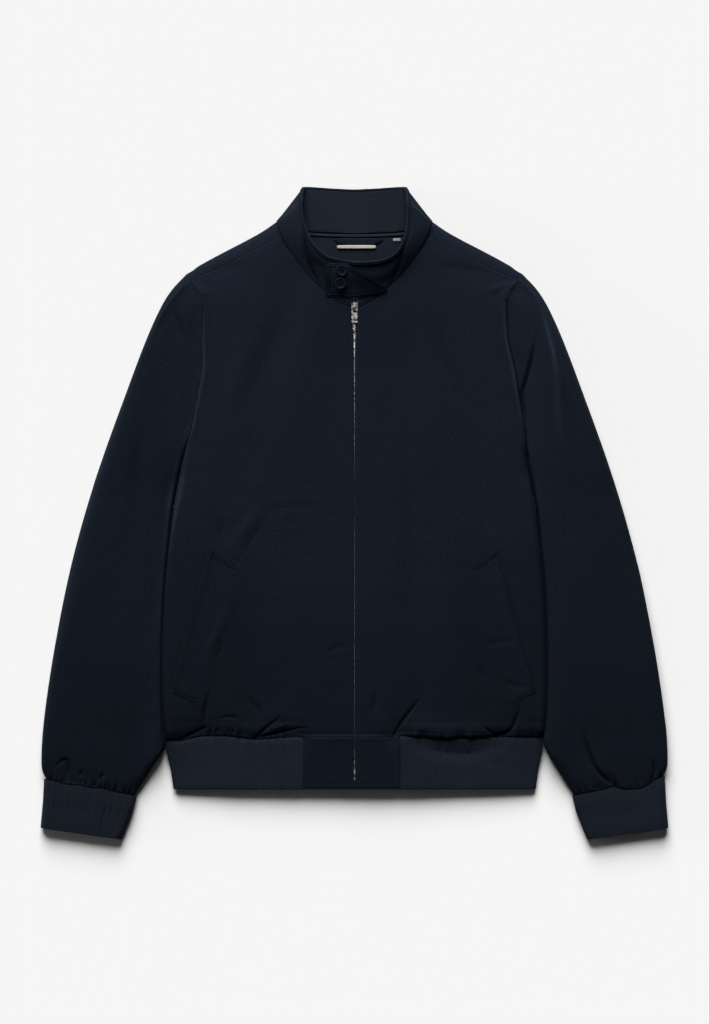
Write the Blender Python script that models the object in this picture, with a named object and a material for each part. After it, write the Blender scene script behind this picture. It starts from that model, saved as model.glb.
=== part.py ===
"""A harrington jacket lying flat on its back, front up and zipped shut.

Sizes are millimetres until a mesh is made. X runs to the viewer's right, Y up the
body to the collar and Z up from the floor. Left and right are the wearer's, so the
right side is at negative X.
"""

import math

import bpy
import numpy as np
from mathutils import Vector
from mathutils.bvhtree import BVHTree

MM = 0.001

# Cloth and seams
SEAM = 0.3
CLOTH = 1.8
RIB_KNIT = 2.6
COLLAR_CLOTH = 2.6
THIN_CLOTH = 1.2
SIDES = (("right", -1), ("left", 1))

# The body, a row for each level: y, half width, crown height, how much lower the crown
# is at the side, height of the front's edge, height of the back's edge, width of the roll
BODY_ROWS = (
    (-332, 217.8, 16.0, 6.5, 5.5, 5.5, 9),
    (-309, 221.0, 17.0, 6.5, 6.0, 6.0, 10),
    (-285, 226.0, 18.0, 6.0, 7.0, 7.0, 12),
    (-272, 227.3, 18.5, 5.5, 8.0, 8.0, 13),
    (-266, 228.0, 23.5, 5.0, 9.0, 9.0, 14),
    (-252, 229.2, 28.5, 4.5, 10.5, 10.5, 15),
    (-237, 230.2, 30.0, 4.0, 11.5, 11.5, 16),
    (-178, 231.0, 29.0, 4.0, 11.5, 11.5, 16),
    (-134, 230.0, 28.0, 4.0, 11.0, 11.0, 16),
    (-91, 228.0, 27.5, 4.0, 11.0, 11.0, 16),
    (-39, 223.0, 27.0, 4.0, 11.0, 11.0, 16),
    (3, 218.0, 27.0, 4.0, 11.0, 11.0, 15),
    (41, 210.8, 27.0, 4.0, 11.0, 11.0, 14),
    (76, 203.8, 27.0, 3.5, 17.5, 0.0, 11),
    (135, 193.0, 27.0, 3.0, 19.5, 0.0, 9),
    (207, 182.5, 26.5, 3.0, 19.5, 0.0, 9),
    (260, 181.0, 25.5, 3.0, 18.0, 0.0, 9),
    (278, 196.0, 24.0, 3.0, 16.0, 0.0, 9),
)
WIDTH, CROWN, ARCH, FRONT_EDGE, BACK_EDGE, ROLL = range(1, 7)
ARMPIT_Y = 41
SHOULDER_Y = 278
RIB_TOP_Y = -272
HEM_Y = -332
ROLL_INSETS = (0.5, 0.134, 0.0)  # the columns round the roll, as shares of its width
TOP_BLEND = 45.0
SEAM_TILT = 75
STRIP_HALF = {-1: 61.8, 1: 54.6}

# The neck seam on the fronts is part of a superellipse, and the shoulder seam starts on it
NECK_HALF = 93.0
NECK_TOP_Y = 347.0
NECK_DEPTH = 104.0
NECK_POWER = 1.4
NECK_CORNER_X = 86.5

# The shoulder, from the neck outwards: fold x, y and forward seam x, y, height at the seam
SHOULDER_ROWS = (
    (0.00, 94.6, 348.0, 86.5, 331.5, 20.0),
    (0.10, 101.0, 341.0, 98.5, 325.6, 19.6),
    (0.25, 120.0, 331.5, 116.0, 316.8, 19.0),
    (0.50, 151.0, 315.0, 144.0, 301.5, 18.0),
    (0.75, 179.0, 300.5, 171.0, 289.0, 17.0),
    (1.00, 200.5, 287.0, 196.0, 278.0, 16.0),
)
FOLD_HEIGHT = 8.0
UNDERSIDE_SHARE = 0.6

# The zip's half gap between the front edges
ZIP_GAP_ROWS = (
    (-332, 0.7),
    (-323, 1.7),
    (-297, 1.7),
    (-290, 0.5),
    (0, 0.6),
    (90, 1.0),
    (185, 1.3),
    (205, 1.8),
    (222, 2.7),
    (231, 3.2),
    (237, 4.6),
    (260, 4.6),
)
CHAIN_HALF = 2.6
CHAIN_THICK = 2.0
TAPE_HALF = 14.0
TAPE_THICK = 0.8
TAPE_SPREAD = 1.9
TAPE_TOP_Y = 241.0
TAPE_BOTTOM_Y = -317.5
SLIDER_BOTTOM_Y = 238.0
BOX_TOP_Y = -298.0
BOX_BOTTOM_Y = -321.5
BOX_HALF = 1.35
BOX_DEPTH = 0.4
BOX_THICK = 3.4

# Rows of the front below the armpit, and of the strip beside the hem rib
LOWER_ROWS = (12, -20, -52, -84, -116, -148, -178, -204, -226, -243, -255, -263.5, -269, RIB_TOP_Y)
STRIP_ROWS = (-286, -302, -318, HEM_Y)
FRONT_ARM_ROWS = (SHOULDER_Y, 272, 262, 244, 206, 169, 133, 101, 76, 58, 48, ARMPIT_Y)
BACK_ARM_ROWS = (262, 220, 150, 76, 50, ARMPIT_Y)
WRAP_ANGLES = (-90, -45, 0, 45, 90)

# Largest folds of the fronts: from x, y to x, y, half width, height
FRONT_FOLDS = (
    (-166, -262, -206, -268, 9, -3.0),
    (-110, -262, -90, -240, 8, 3.0),
    (-112, -268, -58, -266, 7, -2.5),
    (-128, -222, -108, -246, 9, -2.0),
    (-107, -10, -134, -50, 10, -2.0),
    (-178, -240, -184, -256, 8, -2.5),
    (45, -270, 75, -230, 9, -3.5),
    (80, -258, 170, -262, 9, 2.5),
    (184, -266, 196, -244, 8, -3.5),
    (26, -216, 22, -242, 8, -2.0),
    (216, 184, 200, 140, 9, -1.5),
    (-140, 60, -160, -20, 16, -1.5),
    (140, 70, 170, -20, 16, -1.5),
)

# A sleeve, a row for each section: place along it, outer x, y, inner x, y, height
SLEEVE_ROWS = (
    (0.00, 200.5, 287, 210.8, 41, 24.0),
    (0.04, 216.5, 272, 213.5, 31, 25.0),
    (0.08, 229.0, 254.5, 216.0, 20, 26.0),
    (0.16, 250.5, 207, 221.0, -5, 27.0),
    (0.27, 277.0, 135, 226.0, -50, 27.0),
    (0.38, 303.3, 63, 230.5, -100, 26.5),
    (0.49, 326.0, -9, 232.5, -150, 26.0),
    (0.60, 344.5, -81, 233.5, -200, 25.5),
    (0.70, 358.5, -153, 233.0, -240, 25.0),
    (0.80, 370.0, -225, 234.0, -280, 25.5),
    (0.90, 376.2, -285, 244.5, -305, 25.0),
    (0.97, 376.0, -311, 257.0, -330, 21.0),
    (1.00, 370.5, -322, 263.5, -340, 17.5),
)
OUTER_X, OUTER_Y, INNER_X, INNER_Y, SLEEVE_HEIGHT = range(1, 6)
SLEEVE_SECTIONS = (
    *(0, 0.04, 0.08, 0.13, 0.19, 0.26, 0.34, 0.42, 0.5),
    *(0.58, 0.66, 0.74, 0.81, 0.87, 0.92, 0.955, 0.98, 1),
)
SLEEVE_ROLL = 14.0
SLEEVE_EDGE_SHARE = 0.42
ARMHOLE_REACH = 12.0
SLEEVE_FADE = 0.34
BODY_CLEARANCE = 1.2
TOP_SHARES = (0.007, 0.022, 0.06, 0.12, 0.27, 0.42, 0.58, 0.73, 0.88, 0.94, 0.984, 1)
UNDER_SHARES = (1, 0.965, 0.88, 0.6, 0.3, 0.12, 0.045, 0.012, 0, 0.003, 0.007)

# Largest folds of the sleeves, the same columns as the fronts'
SLEEVE_FOLDS = (
    (-218, 240, -200, 200, 9, -1.5),
    (-202, 75, -215, 25, 9, -2.0),
    (-300, -150, -285, -215, 14, 2.0),
    (-348, -296, -344, -316, 7, -2.5),
    (-300, -285, -296, -322, 8, 2.0),
    (227, 244, 243, 171, 11, 2.5),
    (243, 171, 273, 62, 12, 2.5),
    (273, 62, 287, -3, 12, 2.0),
    (277, -283, 309, -330, 8, -3.5),
    (358, -306, 352, -318, 7, -2.5),
    (262, 100, 250, -20, 14, -2.0),
)

# A cuff, a row for each level: outer x, y, inner x, y, height
CUFF_ROWS = (
    (0.00, 370.3, -322, 263.8, -340, 16.5),
    (0.35, 371.5, -343, 267.5, -356, 17.0),
    (0.80, 373.6, -369, 276.5, -381, 16.0),
    (1.00, 374.6, -378, 281.3, -391, 15.0),
)
CUFF_LEVELS = (0, 0.2, 0.45, 0.7, 0.88, 1)
CUFF_ROLL = 9.0
CUFF_EDGE_SHARE = 0.45
CUFF_TOP = (0, 0.01, 0.035, 0.08, 0.2, 0.4, 0.6, 0.8, 0.92, 0.965, 0.99)
CUFF_UNDER = (1, 0.98, 0.93, 0.75, 0.5, 0.25, 0.07, 0.02)

# The collar's half, round from the front to the back: seam x, y, z and rim x, y, z
COLLAR_SIDE_ROWS = (
    (0.45, 92.6, 346.0, 13.5, 63.0, 376.0, 23.0),
    (0.50, 94.4, 348.4, 8.0, 62.2, 390.5, 9.0),
    (0.55, 91.0, 342.5, 1.5, 56.0, 391.0, 1.5),
    (0.70, 55.0, 334.0, 0.0, 30.0, 389.0, 0.0),
    (1.00, 0.0, 332.0, 0.0, 0.0, 387.5, 0.0),
)
COLLAR_HEIGHT_ROWS = (
    (0.00, 27.0, 44.0),
    (0.10, 27.0, 43.5),
    (0.20, 26.0, 41.5),
    (0.30, 24.0, 37.0),
    (0.40, 20.0, 29.0),
    (0.45, 13.5, 23.0),
)
COLLAR_FRONT_END = 0.41
COLLAR_PLACES = (
    *(0, 0.03, 0.07, 0.11, 0.15, 0.19, 0.24, 0.29, 0.34, 0.38),
    *(0.41, 0.45, 0.475, 0.5, 0.525, 0.55, 0.62, 0.7, 0.85, 1),
)
COLLAR_LEVELS = (0, 0.2, 0.45, 0.7, 0.88, 1)
COLLAR_BULGE = 2.0
COLLAR_CENTRE_Y = 250
RIM_HALF = 63.0
RIM_TOP_Y = 372.0
RIM_DEPTH = 73.0
RIM_POWER = {-1: 2.2, 1: 3.3}
COLLAR_LAP = {-1: 18.0, 1: -2.0}
LAP_DROP = 3.2

# The throat tab: x, y of the lower edge, y of the upper edge
TAB_ROWS = (
    (-34.0, 259.0, 295.0),
    (-31.0, 258.0, 296.5),
    (-22.0, 257.4, 297.2),
    (-9.0, 256.4, 297.0),
    (-3.0, 256.0, 291.5),
    (7.0, 257.2, 286.0),
    (16.0, 258.8, 281.5),
    (24.0, 260.0, 276.5),
    (32.0, 261.6, 271.5),
    (39.0, 264.0, 268.5),
)
TAB_CLOTH = 2.0
TAB_LIFT = 0.8
TAB_REACH = 7.0
BUTTONS = (("upper", -15.1, 288.6), ("lower", -16.7, 273.4))
BUTTON_REACH = 6.5
BUTTON_PROFILE = (
    *((0, 0), (5.2, 0), (6.6, 0.7), (7.0, 1.6), (6.6, 2.7), (5.8, 3.0), (4.8, 2.2), (0, 2.0)),
)
BUTTON_SIDES = 28
BUTTON_HOLE = 0.9
BUTTON_HOLE_OUT = 1.6

# A pocket welt, from its top to its bottom: outer x, y and inner x, y, for the right side
WELT_ROWS = {
    -1: ((0, -171, -46, -142, -66), (0.4, -189, -113, -160, -128), (1, -218, -216, -189, -233)),
    1: ((0, 171, -46, 142, -66), (0.4, 188, -113, 160, -129), (1, 217, -216, 188, -233)),
}
WELT_CLOTH = 1.6
WELT_LIFT = 0.4
WELT_REACH = 5.0
WELT_SHARES = (0, 0.08, 0.2, 0.35, 0.5, 0.63, 0.75, 0.85, 0.93, 1)

FINISHES = {
    "navy_cloth": ((0.0080, 0.0115, 0.0185), 0.78, 0.0),
    "navy_rib": ((0.0105, 0.0140, 0.0215), 0.9, 0.0),
    "navy_lining": ((0.0085, 0.0110, 0.0175), 0.6, 0.0),
    "piping": ((0.030, 0.040, 0.055), 0.6, 0.0),
    "zip_metal": ((0.62, 0.61, 0.59), 0.3, 1.0),
    "button_plastic": ((0.012, 0.015, 0.021), 0.35, 0.0),
    "label_dark": ((0.012, 0.015, 0.02), 0.8, 0.0),
    "label_cream": ((0.52, 0.51, 0.46), 0.85, 0.0),
    "label_grey": ((0.42, 0.43, 0.45), 0.8, 0.0),
}


def smooth(rows, column):
    """A smooth curve through one column of a table, whose first column is the place."""
    rows = sorted(rows)
    xs = np.array([row[0] for row in rows], float)
    ys = np.array([row[column] for row in rows], float)
    slopes = np.diff(ys) / np.diff(xs)
    tangents = np.concatenate([slopes[:1], np.zeros(len(xs) - 2), slopes[-1:]])
    for i in range(1, len(xs) - 1):
        if slopes[i - 1] * slopes[i] > 0:
            tangents[i] = 2 * slopes[i - 1] * slopes[i] / (slopes[i - 1] + slopes[i])

    def value(x):
        x = np.clip(x, xs[0], xs[-1])
        i = np.clip(np.searchsorted(xs, x) - 1, 0, len(xs) - 2)
        step = xs[i + 1] - xs[i]
        t = (x - xs[i]) / step
        rise = (3 - 2 * t) * t * t
        return (
            ys[i] * (1 - rise)
            + ys[i + 1] * rise
            + step * t * (1 - t) * ((1 - t) * tangents[i] - t * tangents[i + 1])
        )

    return value


def fade(value, start, end):
    """0 at start and before it, 1 at end and beyond it, smooth between."""
    t = np.clip((value - start) / (end - start), 0, 1)
    return t * t * (3 - 2 * t)


def quarter_round(share):
    """The height of a quarter circle at this share of its width, measured from its foot."""
    return np.sqrt(1 - (1 - np.clip(share, 0, 1)) ** 2)


def fold_height(x, y, folds):
    """The height that these folds add at x, y."""
    total = 0.0
    for x0, y0, x1, y1, half_width, height in folds:
        length = math.hypot(x1 - x0, y1 - y0)
        ux, uy = (x1 - x0) / length, (y1 - y0) / length
        along = (x - x0) * ux + (y - y0) * uy
        across = (y - y0) * ux - (x - x0) * uy
        past_end = np.maximum(np.maximum(-along, along - length), 0)
        total = total + height * np.exp(-(across**2 + past_end**2) / half_width**2)
    return total


body = {column: smooth(BODY_ROWS, column) for column in range(1, 7)}
zip_half_gap = smooth(ZIP_GAP_ROWS, 1)
sleeve = {column: smooth(SLEEVE_ROWS, column) for column in range(1, 6)}
shoulder = {column: smooth(SHOULDER_ROWS, column) for column in range(1, 6)}


# ---------------------------------------------------------------- meshes


def finish_of(name):
    material = bpy.data.materials.get(name)
    if material is None:
        colour, roughness, metallic = FINISHES[name]
        material = bpy.data.materials.new(name)
        material.use_nodes = True
        shader = material.node_tree.nodes["Principled BSDF"]
        shader.inputs["Base Color"].default_value = (*colour, 1)
        shader.inputs["Roughness"].default_value = roughness
        shader.inputs["Metallic"].default_value = metallic
        material.diffuse_color = (*colour, 1)
    return material


def add_object(name, points, faces, finish, origin=(0, 0, 0), sharp=40):
    """One closed mesh, from points in millimetres, with its origin where it is wanted."""
    mesh = bpy.data.meshes.new(name)
    place = np.array(origin, float)
    mesh.from_pydata(((np.asarray(points) - place) * MM).tolist(), [], faces)
    mesh.validate()
    mesh.shade_smooth()
    mesh.set_sharp_from_angle(angle=math.radians(sharp))
    mesh.materials.append(finish_of(finish))
    piece = bpy.data.objects.new(name, mesh)
    piece.location = place * MM
    bpy.context.scene.collection.objects.link(piece)
    return piece


def guide(piece):
    """Keep a shape that only cuts or joins another out of the model."""
    piece.hide_render = True
    piece.display_type = "WIRE"


def grid_quads(rows, columns, keep, ring):
    """The faces of a grid. keep leaves cells out, and ring joins the last column to the first."""
    quads = []
    for i in range(rows - 1):
        for j in range(columns if ring else columns - 1):
            if keep is None or keep[i][j]:
                k = (j + 1) % columns
                low, high = i * columns, (i + 1) * columns
                quads.append((low + j, low + k, high + k, high + j))
    return quads


def point_normals(points, quads):
    normals = np.zeros_like(points)
    for quad in quads:
        a, b, c, d = points[list(quad)]
        normal = np.cross(c - a, d - b)
        normals[list(quad)] += normal / np.linalg.norm(normal)
    lengths = np.linalg.norm(normals, axis=1)
    return normals / np.where(lengths > 0, lengths, 1)[:, None]


def cloth_wall(
    name, grid, thickness, finish, keep=None, ring=False, turned=False, seam_normals=()
):
    """A closed wall of cloth. The grid is its outer face, the inner face lies inside it.

    seam_normals holds (row, column, normal) where a neighbour piece shares the normal.
    """
    grid = np.asarray(grid, float)
    rows, columns, _ = grid.shape
    points = grid.reshape(-1, 3)
    quads = grid_quads(rows, columns, keep, ring)
    if turned:
        quads = [quad[::-1] for quad in quads]
    normals = point_normals(points, quads)
    for i, j, normal in seam_normals:
        normals[(i % rows) * columns + j % columns] = normal
    used = sorted({corner for quad in quads for corner in quad})
    number = {corner: at for at, corner in enumerate(used)}
    quads = [tuple(number[corner] for corner in quad) for quad in quads]
    outer = points[used]
    inner = outer - normals[used] * thickness
    edges = {(a, b) for quad in quads for a, b in zip(quad, quad[1:] + quad[:1])}
    shift = len(outer)
    faces = quads + [tuple(corner + shift for corner in quad[::-1]) for quad in quads]
    faces += [(b, a, a + shift, b + shift) for a, b in sorted(edges) if (b, a) not in edges]
    return add_object(name, np.concatenate([outer, inner]), faces, finish)


# ---------------------------------------------------------------- the body


def front_height(x, y):
    """The height of the front's outer face, away from the neck and the shoulder."""
    half = body[WIDTH](y)
    roll = body[ROLL](y)
    edge = body[FRONT_EDGE](y)
    top = body[CROWN](y) - body[ARCH](y) * (np.abs(x) / half) ** 2
    rise = quarter_round((half - np.abs(x)) / roll)
    return edge + (top - edge) * rise + fold_height(x, y, FRONT_FOLDS) * rise**2


def back_height(x, y):
    half = body[WIDTH](y)
    return body[BACK_EDGE](y) * (1 - quarter_round((half - np.abs(x)) / body[ROLL](y)))


def neck_seam_y(x):
    share = np.clip(x / NECK_HALF, 0, 1)
    return NECK_TOP_Y - NECK_DEPTH * (1 - share**NECK_POWER) ** (1 / NECK_POWER)


def shoulder_share(x):
    """The place along the shoulder at which its forward seam has this x."""
    places = np.linspace(0, 1, 101)
    return np.interp(x, shoulder[3](places), places)


def front_top(x):
    """The y and the height of the front's upper edge at this distance from the middle."""
    if x < NECK_CORNER_X:
        height = np.interp(neck_seam_y(x), (243, 281, 309, 331), (27, 26, 24, 20))
        return neck_seam_y(x), height
    place = shoulder_share(x)
    return shoulder[4](place), shoulder[5](place)


def front_columns(side):
    """Shares of the width, from the zip to the start of the roll, with one on the strip's edge."""
    inset = zip_half_gap(RIB_TOP_Y)
    width = body[WIDTH](RIB_TOP_Y) - body[ROLL](RIB_TOP_Y) - inset
    strip = (STRIP_HALF[side] - inset) / width
    inset = zip_half_gap(NECK_TOP_Y)
    corner = (NECK_CORNER_X - inset) / (body[WIDTH](NECK_TOP_Y) - body[ROLL](NECK_TOP_Y) - inset)
    shares = [0, 0.05, 0.115, 0.19, strip, 0.34, 0.385, 0.42, corner, 0.53, 0.63, 0.73, 0.83, 0.92, 1.0]
    return shares, shares.index(strip)


def front_x(share, y):
    inset = zip_half_gap(y)
    return inset + (body[WIDTH](y) - body[ROLL](y) - inset) * share


def front_column_top(share, inset_share):
    """The y and height at which this column of the front meets the neck or the shoulder seam."""
    y = 300.0
    for _ in range(80):
        x = front_x(share, y) + body[ROLL](y) * (1 - inset_share) * (share == 1)
        y = 0.5 * (y + front_top(x)[0])
    return y, front_top(x)[1]


def front_piece(name, side):
    shares, strip = front_columns(side)
    columns = [(share, 1.0) for share in shares] + [(1.0, inset) for inset in ROLL_INSETS]
    levels = list(FRONT_ARM_ROWS) + list(LOWER_ROWS) + list(STRIP_ROWS)
    grid = np.zeros((len(levels), len(columns), 3))
    for j, (share, inset) in enumerate(columns):
        top_y, top_z = front_column_top(share, inset)
        for i, level in enumerate(levels):
            y = level
            if level > ARMPIT_Y:
                y = ARMPIT_Y + (level - ARMPIT_Y) * (top_y - ARMPIT_Y) / (SHOULDER_Y - ARMPIT_Y)
            across_y = max(y, RIB_TOP_Y)
            x = front_x(share, across_y) + body[ROLL](across_y) * (1 - inset) * (share == 1)
            if share == 0:
                x = float(zip_half_gap(y))
            plain = float(front_height(side * x, y))
            blend = 1 - (1 - np.clip((top_y - y) / TOP_BLEND, 0, 1)) ** 2
            z = top_z + (plain - top_z) * blend
            grid[i, j] = side * x, y, z
    seam_rows = len(FRONT_ARM_ROWS) + len(LOWER_ROWS)
    keep = [
        [i < seam_rows - 1 or j < strip for j in range(len(columns) - 1)] for i in range(len(levels) - 1)
    ]
    grid[:seam_rows, -1, 0] -= side * 0.5 * SEAM * (grid[:seam_rows, -1, 1] > ARMPIT_Y)
    grid[:seam_rows, -1, 2] += 0.5 * SEAM
    grid[seam_rows:, strip, 0] -= side * 0.5 * SEAM
    grid[0, :, 1] -= 0.8 * SEAM
    first_side = len(FRONT_ARM_ROWS) - 1
    normals = [(i, -1, (side, 0, 0)) for i in range(first_side, seam_rows)]
    for j in range(len(columns)):
        x = abs(grid[0, j, 0])
        if x > NECK_CORNER_X - 1:
            normals.append((0, j, shoulder_normal(shoulder_share(x), SEAM_TILT) * (side, 1, 1)))
    return cloth_wall(name, grid, CLOTH, "navy_cloth", keep, turned=side > 0, seam_normals=normals)


def wrap_point(place, angle):
    """Where the back rolls over the shoulder: -90 degrees is underneath, 90 the forward seam."""
    fold = np.array([shoulder[1](place), shoulder[2](place)])
    seam = np.array([shoulder[3](place), shoulder[4](place)])
    turn = math.radians(angle)
    if angle <= 0:
        plan = fold + (seam - fold) * UNDERSIDE_SHARE * (1 - math.cos(turn))
        return np.array([*plan, FOLD_HEIGHT * (1 + math.sin(turn))])
    plan = fold + (seam - fold) * (1 - math.cos(turn))
    return np.array([*plan, FOLD_HEIGHT + (shoulder[5](place) - FOLD_HEIGHT) * math.sin(turn)])


def shoulder_normal(place, angle):
    """The outward direction of the shoulder roll, which the pieces that meet there share."""
    fold = np.array([shoulder[1](place), shoulder[2](place)])
    seam = np.array([shoulder[3](place), shoulder[4](place)])
    out = (fold - seam) / np.linalg.norm(fold - seam)
    turn = math.radians(angle)
    return np.array([*(out * math.cos(turn)), math.sin(turn)])


BACK_NECK_ROWS = ((0, 331.6), (55, 333.4), (90, 338.2))
BACK_SHARES = (0, 0.17, 0.34, 0.48, 0.58, 0.7, 0.8, 0.9, 1.0)
NECK_COLUMN = 3


def back_column(share, inset):
    """One half column of the back, from the forward shoulder seam or the neck to the rib."""
    points = []
    neck_share = BACK_SHARES[NECK_COLUMN]
    inner_top, outer_top = wrap_point(0, -90), wrap_point(1, -90)
    if share < neck_share:
        top_x = inner_top[0] * share / neck_share
        top = np.array([top_x, smooth(BACK_NECK_ROWS, 1)(top_x), 0])
        points += [top] * (len(WRAP_ANGLES) - 1)
    else:
        place = (share - neck_share) / (1 - neck_share)
        if share == 1:
            place -= body[ROLL](SHOULDER_Y) * inset / (outer_top[0] - inner_top[0])
        points += [wrap_point(place, angle) for angle in WRAP_ANGLES[:0:-1]]
        top = wrap_point(place, -90)
    points.append(top)
    for level in BACK_ARM_ROWS + LOWER_ROWS:
        y = level
        if level > ARMPIT_Y:
            y = ARMPIT_Y + (level - ARMPIT_Y) * (top[1] - ARMPIT_Y) / (outer_top[1] - ARMPIT_Y)
            if share == 1 and inset == 0:
                y = level
        half = body[WIDTH](y)
        roll = body[ROLL](y)
        x = (half - roll) * share + roll * (1 - inset) * (share == 1)
        if level > ARMPIT_Y and y > BACK_ARM_ROWS[0]:
            near = (y - BACK_ARM_ROWS[0]) / (top[1] - BACK_ARM_ROWS[0])
            x = x + (top[0] - x) * near
        points.append(np.array([x, y, float(back_height(x, y))]))
    return points


def back_piece():
    half = [(share, 1.0) for share in BACK_SHARES] + [(1.0, inset) for inset in ROLL_INSETS]
    columns = [(-1, share, inset) for share, inset in half[:0:-1]]
    columns += [(1, share, inset) for share, inset in half]
    grid = np.array([back_column(share, inset) for _, share, inset in columns]).transpose(1, 0, 2)
    grid[:, :, 0] *= np.array([side for side, _, _ in columns])[None, :]
    flat_row = len(WRAP_ANGLES) - 1
    middle = len(half) - 1
    keep = [
        [
            i >= flat_row or min(abs(j - middle), abs(j + 1 - middle)) >= NECK_COLUMN
            for j in range(len(columns) - 1)
        ]
        for i in range(len(grid) - 1)
    ]
    first_side = flat_row + len(BACK_ARM_ROWS)
    grid[:, 0, 0] += 0.7 * SEAM * (grid[:, 0, 1] > ARMPIT_Y)
    grid[:, -1, 0] -= 0.7 * SEAM * (grid[:, -1, 1] > ARMPIT_Y)
    grid[first_side:, [0, -1], 2] -= 0.5 * SEAM
    grid[0, :, 1] += 0.8 * SEAM
    side_rows = range(first_side, len(grid))
    normals = [(i, j, (side, 0, 0)) for i in side_rows for j, side in ((0, -1), (-1, 1))]
    for j in range(len(columns)):
        side = -1 if j < middle else 1
        if abs(j - middle) >= NECK_COLUMN:
            place = shoulder_share(abs(grid[0, j, 0]))
            normals.append((0, j, shoulder_normal(place, SEAM_TILT) * (side, 1, 1)))
    for i, angle in enumerate(WRAP_ANGLES[:0:-1]):
        for j, side in ((0, -1), (-1, 1)):
            normals.append((i, j, shoulder_normal(1, min(angle, SEAM_TILT)) * (side, 1, 1)))
    return cloth_wall("back", grid, CLOTH, "navy_cloth", keep, seam_normals=normals)


def hem_rib():
    """One knitted band, from the strip at one front round the back to the other."""
    levels = (RIB_TOP_Y - SEAM,) + STRIP_ROWS
    places = []
    for side in (-1, 1):
        shares = (0, 0.25, 0.5, 0.75, 1)
        top = [(side, "front", share, 1.0) for share in shares]
        top += [(side, "front", 1, inset) for inset in ROLL_INSETS]
        under = [(side, "back", 1, inset) for inset in (*ROLL_INSETS[-2::-1], 1.0)]
        under += [(side, "back", share, 1.0) for share in (0.75, 0.5, 0.25)]
        places.append(top + under)
    columns = places[0] + [(1, "back", 0, 1.0)] + places[1][::-1]
    grid = np.zeros((len(levels), len(columns), 3))
    for i, y in enumerate(levels):
        half = body[WIDTH](y)
        roll = body[ROLL](y)
        for j, (side, face, share, inset) in enumerate(columns):
            start = STRIP_HALF[side] + 0.5 * SEAM if face == "front" else 0
            x = start + (half - roll - start) * share + roll * (1 - inset) * (share == 1)
            height = front_height(side * x, y) if face == "front" else back_height(x, y)
            grid[i, j] = side * x, y, height
    return cloth_wall("hem_rib", grid, RIB_KNIT, "navy_rib")


# ---------------------------------------------------------------- sleeves and cuffs


def sleeve_edges(place):
    """The outer and inner edge of a sleeve at this place along it, clear of the body."""
    outer = np.array([sleeve[OUTER_X](place), sleeve[OUTER_Y](place)])
    inner_y = sleeve[INNER_Y](place)
    clearance = 0.5 * SEAM + (BODY_CLEARANCE - 0.5 * SEAM) * fade(place, 0, 0.08)
    inner_x = max(sleeve[INNER_X](place), body[WIDTH](inner_y) + clearance)
    return outer, np.array([inner_x, inner_y])


SLEEVE_LINE = np.array([sleeve_edges(place) for place in np.linspace(0, 1, 241)])


def edge_distance(point):
    """The distance in plan from a point to the sleeve's nearer edge."""
    return min(np.linalg.norm(SLEEVE_LINE[:, edge] - point, axis=1).min() for edge in (0, 1))


def sleeve_arm_points(face):
    """The points of the armhole that a sleeve piece starts from, x, y and z, without a gap."""
    if face == "top":
        return [np.array([body[WIDTH](y), y, body[FRONT_EDGE](y)]) for y in FRONT_ARM_ROWS]
    points = [np.array([body[WIDTH](y), y, body[BACK_EDGE](y)]) for y in BACK_ARM_ROWS[::-1]]
    return points + [wrap_point(1, angle) for angle in WRAP_ANGLES]


def sleeve_grid(side, face):
    shares = TOP_SHARES if face == "top" else UNDER_SHARES
    arm = sleeve_arm_points(face)
    grid = np.zeros((len(SLEEVE_SECTIONS), len(shares), 3))
    start_outer, start_inner = sleeve_edges(0)
    for i, place in enumerate(SLEEVE_SECTIONS):
        outer, inner = sleeve_edges(place)
        height = sleeve[SLEEVE_HEIGHT](place)
        edge_height = SLEEVE_EDGE_SHARE * height
        keep_arm = 1 - fade(place, 0, SLEEVE_FADE)
        for j, share in enumerate(shares):
            regular = outer + (inner - outer) * share
            shift = arm[j][:2] - (start_outer + (start_inner - start_outer) * share)
            plan = regular + shift * keep_arm
            near_arm = math.exp(-((np.linalg.norm(plan - arm[j][:2]) / ARMHOLE_REACH) ** 2))
            above = face == "top" or j > shares.index(0)
            distance = 0 if share in (0, 1) else edge_distance(plan)
            rise = quarter_round(distance / SLEEVE_ROLL)
            if above:
                z = edge_height + (height - edge_height) * rise
                z += fold_height(side * plan[0], plan[1], SLEEVE_FOLDS) * rise**2 * (1 - near_arm)
            else:
                z = edge_height * (1 - rise)
            z = z + (arm[j][2] - z) * near_arm
            grid[i, j] = side * plan[0], plan[1], z
    return grid


def sleeve_outward(edge):
    """Directions in plan, out of the sleeve, along its outer (0) or inner (1) edge."""
    line = np.array([sleeve_edges(place)[edge] for place in SLEEVE_SECTIONS])
    along = np.gradient(line, axis=0)
    across = np.stack([-along[:, 1], along[:, 0]], axis=1) * (1 if edge == 0 else -1)
    return across / np.linalg.norm(across, axis=1)[:, None]


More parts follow.
